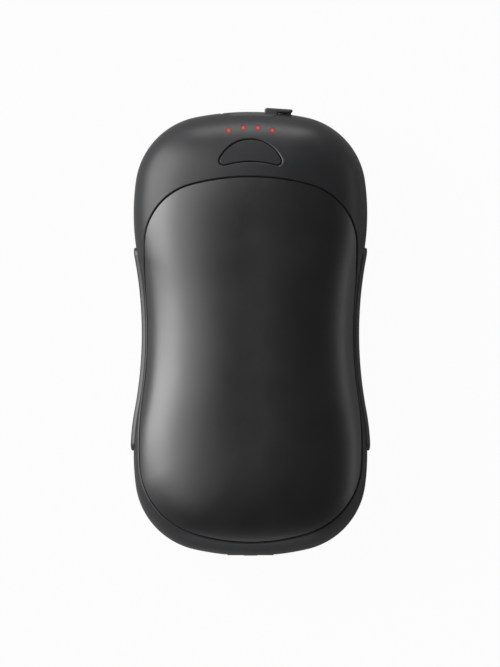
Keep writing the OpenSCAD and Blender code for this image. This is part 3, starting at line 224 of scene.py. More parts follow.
def meet(c1, r1, c2, r2):
    """Where two circles meet, on the left of the way from the first centre to the second."""
    d = np.linalg.norm(c2 - c1)
    a = (r1 * r1 - r2 * r2 + d * d) / (2 * d)
    u = (c2 - c1) / d
    return c1 + a * u + math.sqrt(r1 * r1 - a * a) * np.array([-u[1], u[0]])


def quadrant(apex, end_r, round_r, lobe_x, lobe_up, waist_x, hollow_r):
    """A quarter of an outline as four tangent arcs: centre, radius, bulge, first, last angle."""
    d = lobe_x - waist_x
    side_r = (lobe_up**2 + d * d) / (2 * d) - hollow_r
    c_end = np.array([0, apex - end_r])
    c_side = np.array([lobe_x - side_r, lobe_up])
    c_waist = np.array([waist_x + hollow_r, 0])
    c_corner = meet(c_side, side_r - round_r, c_end, end_r - round_r)

    def angle(a, b):
        return math.degrees(math.atan2(a[1] - b[1], a[0] - b[0]))

    a1, a2, a3 = angle(c_corner, c_end), angle(c_corner, c_side), angle(c_waist, c_side)
    return [(c_end, end_r, 1, 90, a1), (c_corner, round_r, 1, a1, a2),
            (c_side, side_r, 1, a2, a3), (c_waist, hollow_r, -1, 180 + a3, 180)]


lobe_x, lobe_up, waist_x, corner_r, hollow_r = 31.6, 32.5, 28.55, 20.4, 111
head_end_r, foot_end_r = 76, 68
body_upper = quadrant(body_l / 2, head_end_r, corner_r, lobe_x, lobe_up, waist_x, hollow_r)
body_lower = quadrant(body_l / 2, foot_end_r, corner_r, lobe_x, lobe_up, waist_x, hollow_r)


def outline(upper, lower, inset=0.0, mid_y=0.0):
    """A closed outline in plan, clockwise from its top, moved in by an inset."""
    def walk(arcs):
        points = []
        for (centre, radius, bulge, first, last), count in zip(arcs, outline_facets):
            t = np.radians(first + (last - first) * np.arange(count) / count)
            points.append(centre + (radius - bulge * inset) * np.stack([np.cos(t), np.sin(t)], 1))
        return np.concatenate(points)

    waist = upper[3][0] - [upper[3][1] + inset, 0]
    right = np.concatenate([walk(upper), [waist], walk(lower)[::-1] * [1, -1]])
    return np.concatenate([right, right[-2:0:-1] * [-1, 1]]) + [0, mid_y]


def nearest(points):
    """How far plan points lie inside the body's outline, and the outward directions there."""
    q = np.abs(points)
    inside, out = np.zeros(len(q)), np.zeros_like(q)
    for arcs, chosen in ((body_upper, points[:, 1] >= 0), (body_lower, points[:, 1] < 0)):
        p = q[chosen]
        c = np.array([a[0] for a in arcs])

        def left(a, b):
            return (c[b] - c[a])[0] * (p - c[a])[:, 1] - (c[b] - c[a])[1] * (p - c[a])[:, 0] > 0

        which = np.where(left(0, 1), 0, np.where(left(2, 1), 1, np.where(left(2, 3), 2, 3)))
        radius = np.array([a[1] for a in arcs])[which]
        bulge = np.array([a[2] for a in arcs])[which]
        away = p - c[which]
        far = np.linalg.norm(away, axis=1)
        inside[chosen] = bulge * (radius - far)
        out[chosen] = (bulge / far)[:, None] * away
    return inside, out * np.where(points < 0, -1, 1)


def ridge_scale(s):
    """What a share of the way does to Y, because the ridge is a line and not a point."""
    return ridge_share + (1 - ridge_share) * s


def way_through(points):
    """Plan points as the outline's points on the same way out from the ridge, the outline's
    outward directions there, and the share of the way, which is 1 at the edge."""
    low, high = np.full(len(points), 1e-6), np.ones(len(points))
    for _ in range(34):
        s = (low + high) / 2
        outside = nearest(points / np.stack([s, ridge_scale(s)], 1))[0] < 0
        low, high = np.where(outside, s, low), np.where(outside, high, s)
    edge = points / np.stack([s, ridge_scale(s)], 1)
    return edge, nearest(edge)[1], s


def rise(s):
    """The height of the dome at a share of the way out."""
    u = np.clip((s - flat_share) / (1 - flat_share), 0, 1)
    return half_t * (1 - u**fullness) ** (1 / fullness)


def share_at(z):
    """The share of the way out at which the dome has a height."""
    return flat_share + (1 - flat_share) * (1 - (np.abs(z) / half_t) ** fullness) ** (1 / fullness)


def face_normal(edge, out, s):
    """The outward direction of the domed face."""
    u = np.clip((s - flat_share) / (1 - flat_share), 1e-4, 1)
    level = (1 - flat_share) / half_t * u ** (1 - fullness)
    level = level * (1 - u**fullness) ** (1 - 1 / fullness)
    along = np.stack([-s * out[:, 1], ridge_scale(s) * out[:, 0]], 1)
    away = edge * [1, 1 - ridge_share]
    lift = (away[:, 0] * along[:, 1] - away[:, 1] * along[:, 0]) * level
    n = np.stack([along[:, 1], -along[:, 0], lift], 1)
    n /= np.linalg.norm(n, axis=1)[:, None]
    n[s <= flat_share] = (0, 0, 1)
    return n


def on_face(way, depth=0.0):
    """Points on the domed face, or at a depth under it."""
    edge, out, s = way
    top = np.stack([s * edge[:, 0], ridge_scale(s) * edge[:, 1], rise(s)], 1)
    return top - depth * face_normal(edge, out, s)


def bands(n, count):
    """The faces between rings of n points each."""
    return [(j * n + i, j * n + (i + 1) % n, (j + 1) * n + (i + 1) % n, (j + 1) * n + i)
            for j in range(count - 1) for i in range(n)]


def closed(n, count):
    """The faces between rings, with a lid on the first and the last one."""
    return bands(n, count) + [tuple(range(n)), tuple(range((count - 1) * n, count * n))]


def solid(name, rings):
    """A closed solid through rings of points that all have the same count."""
    faces = closed(len(rings[0]), len(rings))
    return turned_out(put(name, mesh_of(name, np.concatenate(rings), faces)))


def raised(plan, z):
    """Plan points with one third number, a height or a share of the way."""
    return np.column_stack([plan, np.full(len(plan), z)])


def turned_out(piece, merge=1e-5):
    """Merges the doubles of a closed piece and turns its faces outwards."""
    work = bmesh.new()
    work.from_mesh(piece.data)
    bmesh.ops.remove_doubles(work, verts=work.verts, dist=merge)
    bmesh.ops.recalc_face_normals(work, faces=work.faces)
    work.to_mesh(piece.data)
    work.free()
    return piece


def applied(piece):
    """Turns a piece with modifiers into the plain mesh that they give."""
    graph = bpy.context.evaluated_depsgraph_get()
    mesh = bpy.data.meshes.new_from_object(piece.evaluated_get(graph))
    piece.modifiers.clear()
    piece.data = mesh
    return piece


def boolean(piece, other, operation):
    """Joins another piece to this one, or cuts it out, and uses it up."""
    cut = piece.modifiers.new(operation.lower(), "BOOLEAN")
    cut.operation = operation
    cut.solver = "MANIFOLD"
    cut.object = other
    applied(piece)
    bpy.data.objects.remove(other)
    return piece


def cad_copy(name):
    """A node's mesh on its own, in millimetres about the middle of the body."""
    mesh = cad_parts[name].data.copy()
    mesh.materials.clear()
    place = Matrix.Translation((0, middle_shift, -half_t)) @ Matrix.Scale(1000, 4)
    mesh.transform(place)
    return turned_out(put(name + "_copy", mesh), 1e-4)


def to_rear(piece):
    """Mirrors a piece of the front to the rear."""
    piece.data.transform(Matrix.Diagonal((1, 1, -1, 1)))
    piece.data.flip_normals()
    return piece


def read(items, key, width=1, kind=np.float32):
    """One value of all points, corners or faces of a mesh, as rows."""
    values = np.zeros(len(items) * width, kind)
    items.foreach_get(key, values)
    return values.reshape(-1, width) if width > 1 else values


# A point belongs to the dome within these reaches of it, and a face if it turns the same way
face_reach, side_reach, least_alike = 0.02, 0.0006, 0.86


def shaded(piece, crease=35, domed=True):
    """Smooth faces with creases, and the exact direction of the dome where a piece lies in it."""
    mesh = piece.data
    mesh.shade_smooth()
    mesh.set_sharp_from_angle(angle=math.radians(crease))
    if not domed:
        return piece
    corner = read(mesh.corner_normals, "vector", 3)
    vertex = read(mesh.loops, "vertex_index", kind=np.int32)
    place = read(mesh.vertices, "co", 3).astype(float)
    sides = read(mesh.polygons, "loop_total", kind=np.int32)
    face = np.repeat(read(mesh.polygons, "normal", 3), sides, axis=0)
    edge, out, s = way_through(place[:, :2])
    exact = face_normal(edge, out, s)
    near = np.abs((np.abs(place[:, 2]) - rise(s)) * exact[:, 2]) < face_reach
    near |= np.abs(s - share_at(np.minimum(np.abs(place[:, 2]), half_t))) < side_reach
    exact[:, 2] *= np.where(place[:, 2] < 0, -1, 1)
    use = near[vertex] & ((exact[vertex] * face).sum(1) > least_alike)
    corner[use] = exact[vertex][use]
    mesh.normals_split_custom_set(corner.tolist())
    return piece


def placed(piece, material, body, node):
    """Brings a finished piece from millimetres to its place in metres, and hands it over."""
    piece.data.materials.clear()
    piece.data.materials.append(material)
    place = Matrix.Scale(0.001, 4) @ Matrix.Translation((0, -middle_shift, half_t))
    piece.data.transform(place)
    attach(piece, body)
    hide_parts(node)


def named_tree(name, sizes):
    """An empty geometry tree with named inputs, and its sockets by name."""
    tree = bpy.data.node_groups.new(name, "GeometryNodeTree")
    tree.interface.new_socket("Geometry", in_out="INPUT", socket_type="NodeSocketGeometry")
    for size in sizes:
        tree.interface.new_socket(size, in_out="INPUT", socket_type="NodeSocketFloat")
    tree.interface.new_socket("Finish", in_out="INPUT", socket_type="NodeSocketMaterial")
    tree.interface.new_socket("Geometry", in_out="OUTPUT", socket_type="NodeSocketGeometry")
    source = tree.nodes.new("NodeGroupInput")
    return tree, {o.name: Plug(tree, o) for o in source.outputs if o.name}


def finish_tree(tree, made, material):
    """Ends a tree: what it made becomes real, with its material."""
    real = made.add("GeometryNodeRealizeInstances", None, {0: made})
    painted = real.add("GeometryNodeSetMaterial", None, {"Geometry": real, "Material": material})
    real.add("NodeGroupOutput", None, {0: painted})


def grown(name, tree, points, faces, sizes, material):
    """Runs a tree on a mesh of points and faces, and keeps the plain mesh that it gives."""
    return run_tree(name, mesh_of(name, points, faces), tree, sizes, material)


def run_tree(name, mesh, tree, sizes, material):
    """Gives a mesh a tree with its sizes and its finish, and keeps what comes out."""
    piece = put(name, mesh)
    build = piece.modifiers.new("build", "NODES")
    build.node_group = tree
    for item in tree.interface.items_tree:
        if item.in_out == "INPUT" and item.name in sizes:
            build[item.identifier] = float(sizes[item.name])
        if item.in_out == "INPUT" and item.name == "Finish":
            build[item.identifier] = material
    return applied(piece)


# The rule of the pebble: a point's X and Y give a place on the outline and its Z the share of
# the way out to it, and the tree lifts it to where the domed face has that share
pebble_sizes = {"Half thickness": half_t, "Ridge share": ridge_share,
                "Flat share": flat_share, "Fullness": fullness}
pebble_tree, given = named_tree("pebble_rule", pebble_sizes)
position = given["Geometry"].add("GeometryNodeInputPosition")
edge_x, edge_y, share = (position.add("ShaderNodeSeparateXYZ", None, {0: position}, out=i)
                         for i in range(3))
ridge = given["Ridge share"]
outward = (share - given["Flat share"]) / (1 - given["Flat share"])
outward = outward.maths("MAXIMUM", outward, 0.0)
lift = (1 - outward ** given["Fullness"]) ** (1 / given["Fullness"]) * given["Half thickness"]
new_place = position.add("ShaderNodeCombineXYZ", None,
                         {0: edge_x * share, 1: edge_y * (ridge + (1 - ridge) * share), 2: lift})
moved = position.add("GeometryNodeSetPosition", None,
                     {"Geometry": given["Geometry"], "Position": new_place})
finish_tree(pebble_tree, moved, given["Finish"])


# How the two noises of a finish mix, how much they change it, and the bright points of painted
# glint
broad_times, broad_share, fine_share, contrast = 40, 0.6, 0.4, 1.6
fine_rough, broad_rough = 0.12, 0.08
spot_times, spot_reach, spot_gain, spot_lift, spot_least = 1.7, 0.22, 4, 3, 0.02


def blended(start, amount, first, second):
    """A colour between two others, by an amount from 0 to 1."""
    return start.add("ShaderNodeMix", {"data_type": "RGBA"},
                     {0: amount, 6: first, 7: second}, out=2)


def finish(name, tone, rough, grain=0.22, depth=0.012, mottle=0.08, metal=0.0, level=0.5,
           painted_glints=0.0, ior=1.5):
    """A fine-grained finish: grain and depth in millimetres, mottle as a share of the tone,
    level for the strength of its shine, and painted_glints for bright points of painted
    highlight, the glints of a blasted face lightened into its colour."""
    material, begin = new_material(name)
    coords = begin.add("ShaderNodeTexCoord", None, None, out=3)
    fine = begin.add("ShaderNodeTexNoise", None,
                     {"Vector": coords, "Scale": 1000 / grain, "Detail": 3.0, "Roughness": 0.6})
    broad = begin.add("ShaderNodeTexNoise", None,
                      {"Vector": coords, "Scale": 1000 / (grain * broad_times), "Detail": 2.0})
    dark = tuple(c * (1 - mottle) for c in tone) + (1,)
    light = tuple(min(1.0, c * (1 + mottle)) for c in tone) + (1,)
    amount = (broad * broad_share + fine * fine_share - 0.5) * contrast + 0.5
    amount = amount.maths("MAXIMUM", amount, 0.0)
    colour = blended(begin, amount.maths("MINIMUM", amount, 1.0), dark, light)
    # Painted glints: bright points of highlight lightened into the colour, where a blasted face
    # would glint
    if painted_glints:
        spots = begin.add("ShaderNodeTexVoronoi", {"feature": "F1"},
                          {"Vector": coords, "Scale": 1000 / (grain * spot_times)})
        glint = spots.maths("MAXIMUM", spot_reach - spots, 0.0) * spot_gain
        lit = tuple(min(1.0, c * spot_lift + spot_least) for c in tone) + (1,)
        colour = blended(begin, glint.maths("MINIMUM", glint, 1.0) * painted_glints, colour, lit)
    roughness = (fine - 0.5) * fine_rough + (broad - 0.5) * broad_rough + rough
    bump = begin.add("ShaderNodeBump", None,
                     {"Height": fine, "Distance": depth / 1000, "Strength": 1.0})
    shader = begin.add("ShaderNodeBsdfPrincipled", None,
                       {"Base Color": colour, "Roughness": roughness, "Metallic": metal,
                        "Specular IOR Level": level, "IOR": ior, "Normal": bump})
    begin.add("ShaderNodeOutputMaterial", None, {"Surface": shader})
    return material


cover_black = finish("cover_black", (0.024, 0.0245, 0.026), 0.38, grain=0.16, depth=0.003)

parting_r = 0.14  # the round that leaves the parting line
skin_t, core_t = 0.9, 0.8  # how deep the fine skin reaches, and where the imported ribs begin
skin_floor_z, core_floor_z = -1.0, -4.0
inner_steps, outer_steps, just_inside = 44, 46, 0.9999999
parting_steps = np.array([0, 0.12, 0.3, 0.6])
cover_crease = 28
flap_edge_r, strap_edge_r, dot_edge_r = 0.12, 0.35, 0.06  # rounds along the openings
mouth_over = 0.25  # how far a mouth's flare goes on over the surface
beyond_body, over_face = 63, half_t + 2  # where the cutters end


def round_edge(radius, angles=(0, 18, 36, 54, 74)):
    """The profile of a round edge: how far out from the wall, and how deep, at each step."""
    return [(radius * (1 - math.cos(math.radians(a))), radius * (1 - math.sin(math.radians(a))))
            for a in angles]


def bevelled_edge(width, depth, corner=0.03):
    """The profile of a small bevel with a hint of a round at its foot."""
    return [(0, depth + corner), (0.3 * corner, depth + 0.3 * corner), (corner, depth),
            (width * 0.97, depth * 0.06)]


def dome_rings(depth, floor_z):
    """Rings of half of the pebble, sunk by a depth, from a flat floor to the flat middle."""
    edge = outline(body_upper, body_lower)
    out = nearest(edge * just_inside)[1]
    rings = [raised(edge - depth * out, floor_z)]
    for t in np.radians(np.linspace(0, 90, inner_steps + 1)):
        s = flat_share + (1 - flat_share) * math.cos(t) ** (2 / fullness)
        rings.append(on_face((edge, out, np.full(len(edge), min(s, 1 - 1e-9))), depth))
    return rings


def outer_dome(name, material):
    """The outside of a half, from the rule of the pebble, with the round of the parting line."""
    rings = []
    for z in parting_r * parting_steps:
        inset = parting_r - math.sqrt(parting_r**2 - (parting_r - z) ** 2)
        rings.append((inset, share_at(z)))
    for t in np.radians(np.linspace(0, 90, outer_steps + 1))[1:]:
        s = flat_share + (1 - flat_share) * math.cos(t) ** (2 / fullness)
        if rise(s) > parting_r:
            rings.append((0, s))
    points = np.concatenate([raised(outline(body_upper, body_lower, inset), s)
                             for inset, s in rings])
    faces = closed(outline_count, len(rings))
    return turned_out(grown(name, pebble_tree, points, faces, pebble_sizes, material))


def beyond(profile):
    """A profile with one more step, which carries its last slope on past the surface."""
    (w1, d1), (w2, d2) = profile[-2:]
    return profile + [(w2 + (w2 - w1) / (d1 - d2) * (d2 + mouth_over), -mouth_over)]


def upright(ring):
    """For pieces in the face: plan in X and Y, height along Z."""
    return ring


def endwise(ring):
    """For pieces in the head end: plan in X and Z, height along Y."""
    return ring[:, [0, 2, 1]]


def footwise(ring):
    """For pieces in the foot end: height against Y."""
    return endwise(ring) * [1, -1, 1]


def well(name, shape, height, floor, lid, edge, place=upright):
    """A cutter for an opening: its walls rise from a floor to the surface, where its mouth
    flares with the profile of an edge. place turns its plan and height into a point."""
    rings = [raised(shape(0), floor)]
    for out, deep in beyond(edge):
        plan = shape(out)
        rings.append(np.column_stack([plan, height(plan) - deep]))
    rings.append(raised(plan, lid))
    return solid(name, [place(r) for r in rings])


def prism(name, plan, low, high, place=upright):
    """A straight solid on a plan between two heights."""
    return solid(name, [place(raised(plan, z)) for z in (low, high)])


def face_height(plan):
    """The height of the domed face over plan points."""
    return rise(way_through(plan)[2])


def end_height(arcs):
    """How far out the surface at an end of the body lies, over places in X and Z."""
    def height(plan):
        s = share_at(np.minimum(np.abs(plan[:, 1]), half_t))
        x = plan[:, 0] / s
        y = arcs[0][0][1] + np.sqrt(arcs[0][1] ** 2 - x * x)
        return y * ridge_scale(s)
    return height


head_height, foot_height = end_height(body_upper), end_height(body_lower)

# The half-moon opening of the button, whose foot side is a flatter arc
button_r, button_y = 9.0, 43.3
button_low_y, button_low_r = 46.5, 25.0
button_corner_r = 1.1
button_gap, button_floor_z, button_mouth = 0.25, 7.0, (0.32, 0.2)
moon_counts = 60, 14, 50


def arc_points(centre, radius, first, last, count):
    """Points along an arc in plan, with both its ends."""
    t = np.linspace(first, last, count + 1)
    return centre + radius * np.stack([np.cos(t), np.sin(t)], 1)


def moon(grow):
    """The button's half-moon in plan, grown all round."""
    c_up = np.array([0, button_y])
    c_low = np.array([0, button_low_y - button_low_r])
    c = meet(c_low, button_low_r + button_corner_r, c_up, button_r - button_corner_r)
    c = np.array([abs(c[0]), c[1]])
    a_up = math.atan2(*(c - c_up)[::-1])
    a_low = math.atan2(*(c - c_low)[::-1])
    top_count, corner_count, low_count = moon_counts
    top = arc_points(c_up, button_r + grow, math.pi - a_up, a_up, top_count)
    right = arc_points(c, button_corner_r + grow, a_up, a_low - math.pi, corner_count)[1:-1]
    bottom = arc_points(c_low, button_low_r - grow, a_low, math.pi - a_low, low_count)
    left = right[::-1] * [-1, 1]
    return np.concatenate([top, right, bottom, left])


# The four light holes
dot_d, dot_pitch, dot_gap, dot_floor_z = 1.2, 3.94, 0.03, 6.0
outer_dot_y, inner_dot_y = 54.96, 55.7
dots = [(k * dot_pitch, y) for k, y in
        ((-1.5, outer_dot_y), (-0.5, inner_dot_y), (0.5, inner_dot_y), (1.5, outer_dot_y))]


def disc(centre, radius, count=40):
    """A circle in plan, to be grown all round."""
    return lambda grow: arc_points(np.array(centre), radius + grow, 0, -2 * math.pi, count)[:-1]


def rounded(width, tall, corner, middle=0.0, per_corner=8, per_side=11):
    """A rectangle with round corners in plan, with points along its sides as well."""
    def shape(grow):
        w, h, r = width / 2 + grow, tall / 2 + grow, max(corner + grow, 0.02)
        arcs = []
        for sx, sy, first in ((1, 1, 90), (1, -1, 0), (-1, -1, -90), (-1, 1, -180)):
            t = np.radians(np.linspace(first, first - 90, per_corner + 1))
            arcs.append(np.stack([sx * (w - r) + r * np.cos(t), sy * (h - r) + r * np.sin(t)], 1))
        way = np.linspace(0, 1, per_side + 2)[1:-1, None]
        sides = [a[-1] + way * (b[0] - a[-1]) for a, b in zip(arcs, arcs[1:] + arcs[:1])]
        return np.concatenate([p for pair in zip(arcs, sides) for p in pair]) + [middle, 0]
    return shape


# The openings of the port flap, of its hinge and of the strap bar
flap_w, flap_h, flap_x, flap_corner_r, flap_gap = 13.4, 8.8, 0.8, 2.2, 0.2
flap_in_y = 58.3
hinge_x, hinge_y, barrel_r, barrel_l, barrel_gap = -7.1, 58.75, 0.85, 4.2, 0.12
room_left, room_right, room_low_y, room_high_y = -0.95, 1.5, 57.8, 61  # X from the hinge
strap_w, strap_h, strap_r, strap_floor_y = 12.6, 5.2, 1.3, -55.4

# The grips' pockets follow the side of the body, as do the grips themselves
grip_half = 2.3
grip_low_y, grip_high_y = -31.6 + grip_half, 23.3 - grip_half
grip_steps = 44
pocket_gap, pocket_depth, pocket_out = 0.1, 0.85, 1.0
side_meet_y = lobe_up * hollow_r / (hollow_r + body_upper[2][1])


def side_at(y):
    """The side of the body at a Y: its place and outward direction in plan."""
    waisted = abs(y) < side_meet_y
    centre, radius = (body_upper[3][0], hollow_r) if waisted else body_upper[2][:2]
    turn = -1 if waisted else 1
    up = abs(y) - centre[1]
    dx = turn * math.sqrt(radius**2 - up * up)
    n = turn * np.array([dx, up * (-1 if y < 0 else 1)]) / radius
    return np.array([centre[0] + dx, y]), n


# A strip's shoulder, as shares of how far it stands out and of its rounding
shoulder_shares = ((-0.15, 0), (-0.08, 0.02), (0.02, 0.1), (0.55, 0.5), (0.7, 0.63), (0.82, 0.8),
                   (0.92, 1.05), (0.98, 1.35), (1, 1.7))


def grip_form(name, grow, sunk, proud, chamfer, mirrored):
    """A strip along the side, rounded at both ends, with rounded edges if it has a chamfer."""
    noses = np.radians(np.linspace(12, 90, 13))
    low = [(grip_low_y - (grip_half + grow) * math.cos(a), a) for a in noses]
    middle = [(grip_low_y + (grip_high_y - grip_low_y) * i / grip_steps, math.pi / 2)
              for i in range(1, grip_steps)]
    high = [(grip_high_y + (grip_half + grow) * math.cos(a), a) for a in noses[::-1]]
    rings = []
    for y, a in low + middle + high:
        at, n = side_at(y)
        half = (grip_half + grow) * math.sin(a)
        stand = proud * math.sqrt(math.sin(a))
        cut = chamfer * math.sin(a)
        section = [(-sunk, -half)]
        if chamfer:
            section += [(k * stand, -half + drop * cut) for k, drop in shoulder_shares]
        else:
            section.append((stand, -half))
        section += [(k, -z) for k, z in section[::-1]]
        rings.append([(at[0] + k * n[0], at[1] + k * n[1], z) for k, z in section])
    piece = solid(name, [np.array(r) for r in rings])
    if mirrored:
        piece.data.transform(Matrix.Diagonal((-1, 1, 1, 1)))
        piece.data.flip_normals()
    return piece


plate_upper = quadrant(apex=41.8, end_r=62.7, round_r=17, lobe_x=28.75, lobe_up=23,
                       waist_x=27.9, hollow_r=116)
plate_lower = quadrant(apex=56.8, end_r=52, round_r=20.5, lobe_x=30.15, lobe_up=30.5,
                       waist_x=27.9, hollow_r=116)
plate_gap, plate_t, gasket_t, plate_mid_y = 0.36, 1.0, 0.2, 0.5
seat_mouth = (0.26, 0.16)
seat_shares = (1, 0.8, 0.6, 0.42, 0.27, 0.15, 0.07, 0.02)  # rings of the seat's floor


def gap_line(inset):
    """The gap between a plate and its cover, moved in by an inset, as places on the dome."""
    return way_through(outline(plate_upper, plate_lower, inset, plate_mid_y))


def recess(name):
    """A cutter for the seat of a heat plate, with a small round along its mouth."""
    edge, out, s = gap_line(-plate_gap / 2)
    deep = plate_t + gasket_t
    floor = [on_face((edge, out, s + (flat_share - s) * share), deep) for share in seat_shares]
    top = on_face((edge, out, s))
    n = face_normal(edge, out, s)
    along = np.roll(top, -1, 0) - np.roll(top, 1, 0)
    outwards = np.cross(n, along)
    outwards /= np.linalg.norm(outwards, axis=1)[:, None]
    rings = floor + [top - deep * n]
    for out_step, down in beyond(bevelled_edge(*seat_mouth)):
        rings.append(top - down * n + out_step * outwards)
    rings.append(rings[-1] * [1, 1, 0] + [0, 0, over_face])
    return solid(name, rings)


def cover(name, cad_name, rear=False):
    """One cover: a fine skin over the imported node's own ribs, bosses and tongue."""
    shell = outer_dome(name, cover_black)
    boolean(shell, solid("inside", dome_rings(skin_t, skin_floor_z)), "DIFFERENCE")
    core = cad_copy(cad_name)
    keep = solid("keep", dome_rings(core_t, core_floor_z))
    if rear:
        to_rear(keep)
        to_rear(shell)
    boolean(core, keep, "INTERSECT")
    boolean(shell, core, "UNION")
    return shell


def cut_ends(shell):
    """The openings that both covers share at the ends and sides."""
    flap_seat = rounded(flap_w + 2 * flap_gap, flap_h + 2 * flap_gap, flap_corner_r + flap_gap,
                        flap_x)
    boolean(shell, well("flap_seat", flap_seat, head_height, flap_in_y - flap_gap / 2, beyond_body,
                        round_edge(flap_edge_r), endwise), "DIFFERENCE")
    strap_hole = rounded(strap_w, strap_h, strap_r)
    boolean(shell, well("strap_hole", strap_hole, foot_height, -strap_floor_y, beyond_body,
                        round_edge(strap_edge_r), footwise), "DIFFERENCE")
    left, right, reach = hinge_x + room_left, hinge_x + room_right, barrel_l / 2 + barrel_gap
    room = [(left, room_low_y), (right, room_low_y), (right, room_high_y), (left, room_high_y)]
    boolean(shell, prism("hinge_room", room, -reach, reach), "DIFFERENCE")
    for mirrored in (False, True):
        pocket = grip_form("pocket", pocket_gap, pocket_depth, pocket_out, 0, mirrored)
        boolean(shell, pocket, "DIFFERENCE")


front = cover("front_cover_moulding", "front_cover")
boolean(front, recess("plate_seat"), "DIFFERENCE")
boolean(front, well("button_hole", lambda grow: moon(button_gap + grow), face_height,
                    button_floor_z, over_face, bevelled_edge(*button_mouth)), "DIFFERENCE")
for i, dot in enumerate(dots):
    boolean(front, well(f"dot_{i}", disc(dot, dot_d / 2 + dot_gap), face_height, dot_floor_z,
                        over_face, round_edge(dot_edge_r)), "DIFFERENCE")
cut_ends(front)
shaded(front, cover_crease)
placed(front, cover_black, "housing", "front_cover")

rear = cover("rear_cover_moulding", "rear_cover", rear=True)
boolean(rear, to_rear(recess("plate_seat")), "DIFFERENCE")
cut_ends(rear)
shaded(rear, cover_crease)
placed(rear, cover_black, "housing", "rear_cover")


# ==================================
# Heat plates
# Two plates pressed from 1 mm aluminium sheet, glass-bead blasted and anodised black, which
# are bonded into the recesses of the covers with a thin dark gap all round.
# ==================================
# The plate's colour carries bright points of painted glint
plate_black = finish("blasted_aluminium", (0.008, 0.008, 0.0084), 0.37, grain=0.2, depth=0.004,
                     mottle=0.12, ior=1.9, painted_glints=0.1)
plate_edge_r = 0.2
plate_rings = 34
ring_bias = 1.4  # packs the rings towards the rim


def bevel(piece, width, segments, angle):
    """Rounds the edges of a piece that are sharper than an angle."""
    made = piece.modifiers.new("edge", "BEVEL")
    made.width = width
    made.segments = segments
    made.limit_method = "ANGLE"
    made.angle_limit = math.radians(angle)
    return applied(piece)


def heat_plate(name):
    """One sheet on the rule of the pebble, with its thickness and its rounded edge."""
    edge, out, s = gap_line(plate_gap / 2)
    shares = (np.arange(plate_rings + 1) / plate_rings) ** ring_bias
    points = np.concatenate([np.column_stack([edge, s + (flat_share - s) * k]) for k in shares])
    n = len(edge)
    faces = bands(n, plate_rings + 1) + [tuple(range(plate_rings * n, (plate_rings + 1) * n))]
    piece = turned_out(grown(name, pebble_tree, points, faces, pebble_sizes, plate_black))
    if piece.data.polygons[-1].normal.z < 0:
        piece.data.flip_normals()
    sheet = piece.modifiers.new("sheet", "SOLIDIFY")
    sheet.thickness = plate_t
    sheet.offset = -1
    sheet.use_even_offset = True
    return bevel(piece, plate_edge_r, 4, 50)


front_plate = shaded(heat_plate("front_plate_sheet"))
placed(front_plate, plate_black, "housing", "front_heat_plate")
rear_plate = shaded(to_rear(heat_plate("rear_plate_sheet")))
placed(rear_plate, plate_black, "housing", "rear_heat_plate")


# ==================================
# Side grips
# Two strips of soft black rubber along the waist, where the hand holds the warmer. They are
# moulded with rounded edges and glued into pockets in the sides.
# ==================================
grip_black = finish("grip_rubber", (0.024, 0.024, 0.025), 0.42, grain=0.3, depth=0.006, ior=1.65)
grip_depth, grip_out, grip_round = 0.75, 0.84, 0.8
for name, node, mirrored in (("grip_strip_right", "side_grip_right", False),
                             ("grip_strip_left", "side_grip_left", True)):
    strip = grip_form(name, 0, grip_depth, grip_out, grip_round, mirrored)
    shaded(strip, crease=40, domed=False)
    placed(strip, grip_black, "housing", node)


# ==================================
# Power button
# A half-moon cap of the same black ABS with a small bevel, which sits flush in its opening. A
# flange inside keeps it in, and a nub under it works the switch.
# ==================================
button_black = finish("button_black", (0.026, 0.0265, 0.028), 0.46, grain=0.16, depth=0.004,
                      level=0.3)
button_low_z, button_facet, button_bevel, button_bevel_deep = 7.95, 0.45, 0.2, 0.13
flange_out, flange_low_z, flange_high_z = 0.9, 7.05, 7.85
stem_in, stem_low_z, stem_high_z = 0.15, 7.4, 8.6
nub_y, nub_r, nub_low_z = 47.8, 1.7, 6.85


def plug(name, shape, height, floor, edge, spacing, place=upright):
    """A solid whose top follows the surface, with straight sides and an edge of a profile."""
    rings = [raised(shape(0), floor)]
    for out, deep in edge:
        plan = shape(-out)
        rings.append(np.column_stack([plan, height(plan) - deep]))
    n = len(plan)
    low, high = plan.min(0), plan.max(0)
    grid = np.stack(np.meshgrid(np.arange(low[0], high[0], spacing),
                                np.arange(low[1], high[1], spacing)), -1).reshape(-1, 2)
    rim = shape(-edge[-1][0] - spacing * 0.6)
    step = np.roll(rim, -1, 0) - rim
    inside = np.zeros(len(grid), bool)
    for a, b in zip(rim, rim + step):
        crosses = (a[1] > grid[:, 1]) != (b[1] > grid[:, 1])
        x = a[0] + (grid[:, 1] - a[1]) / np.where(b[1] == a[1], 1, b[1] - a[1]) * (b[0] - a[0])
        inside ^= crosses & (grid[:, 0] < x)
    cap = np.concatenate([plan, grid[inside]])
    made = delaunay_2d_cdt([Vector(p) for p in cap], [], [list(range(n))], 1, 1e-7)
    top = np.array([tuple(v) for v in made[0]])
    top = np.column_stack([top, height(top)])
    points = np.concatenate([*rings, top])
    faces = bands(n, len(rings)) + [tuple(range(n))]
    faces += [tuple(len(rings) * n + i for i in f) for f in made[2]]
    return turned_out(put(name, mesh_of(name, place(points), faces)))


button = plug("button_cap", moon, face_height, button_low_z,
              bevelled_edge(button_bevel, button_bevel_deep) + [(button_bevel, 0)], button_facet)
stem = prism("stem", moon(-stem_in), stem_low_z, stem_high_z)
flange = prism("flange", moon(flange_out), flange_low_z, flange_high_z)
nub = prism("nub", disc((0, nub_y), nub_r)(0), nub_low_z, stem_low_z)
for part in (stem, flange, nub):
    boolean(button, part, "UNION")
shaded(button, cover_crease)
placed(button, button_black, "button", "power_button")


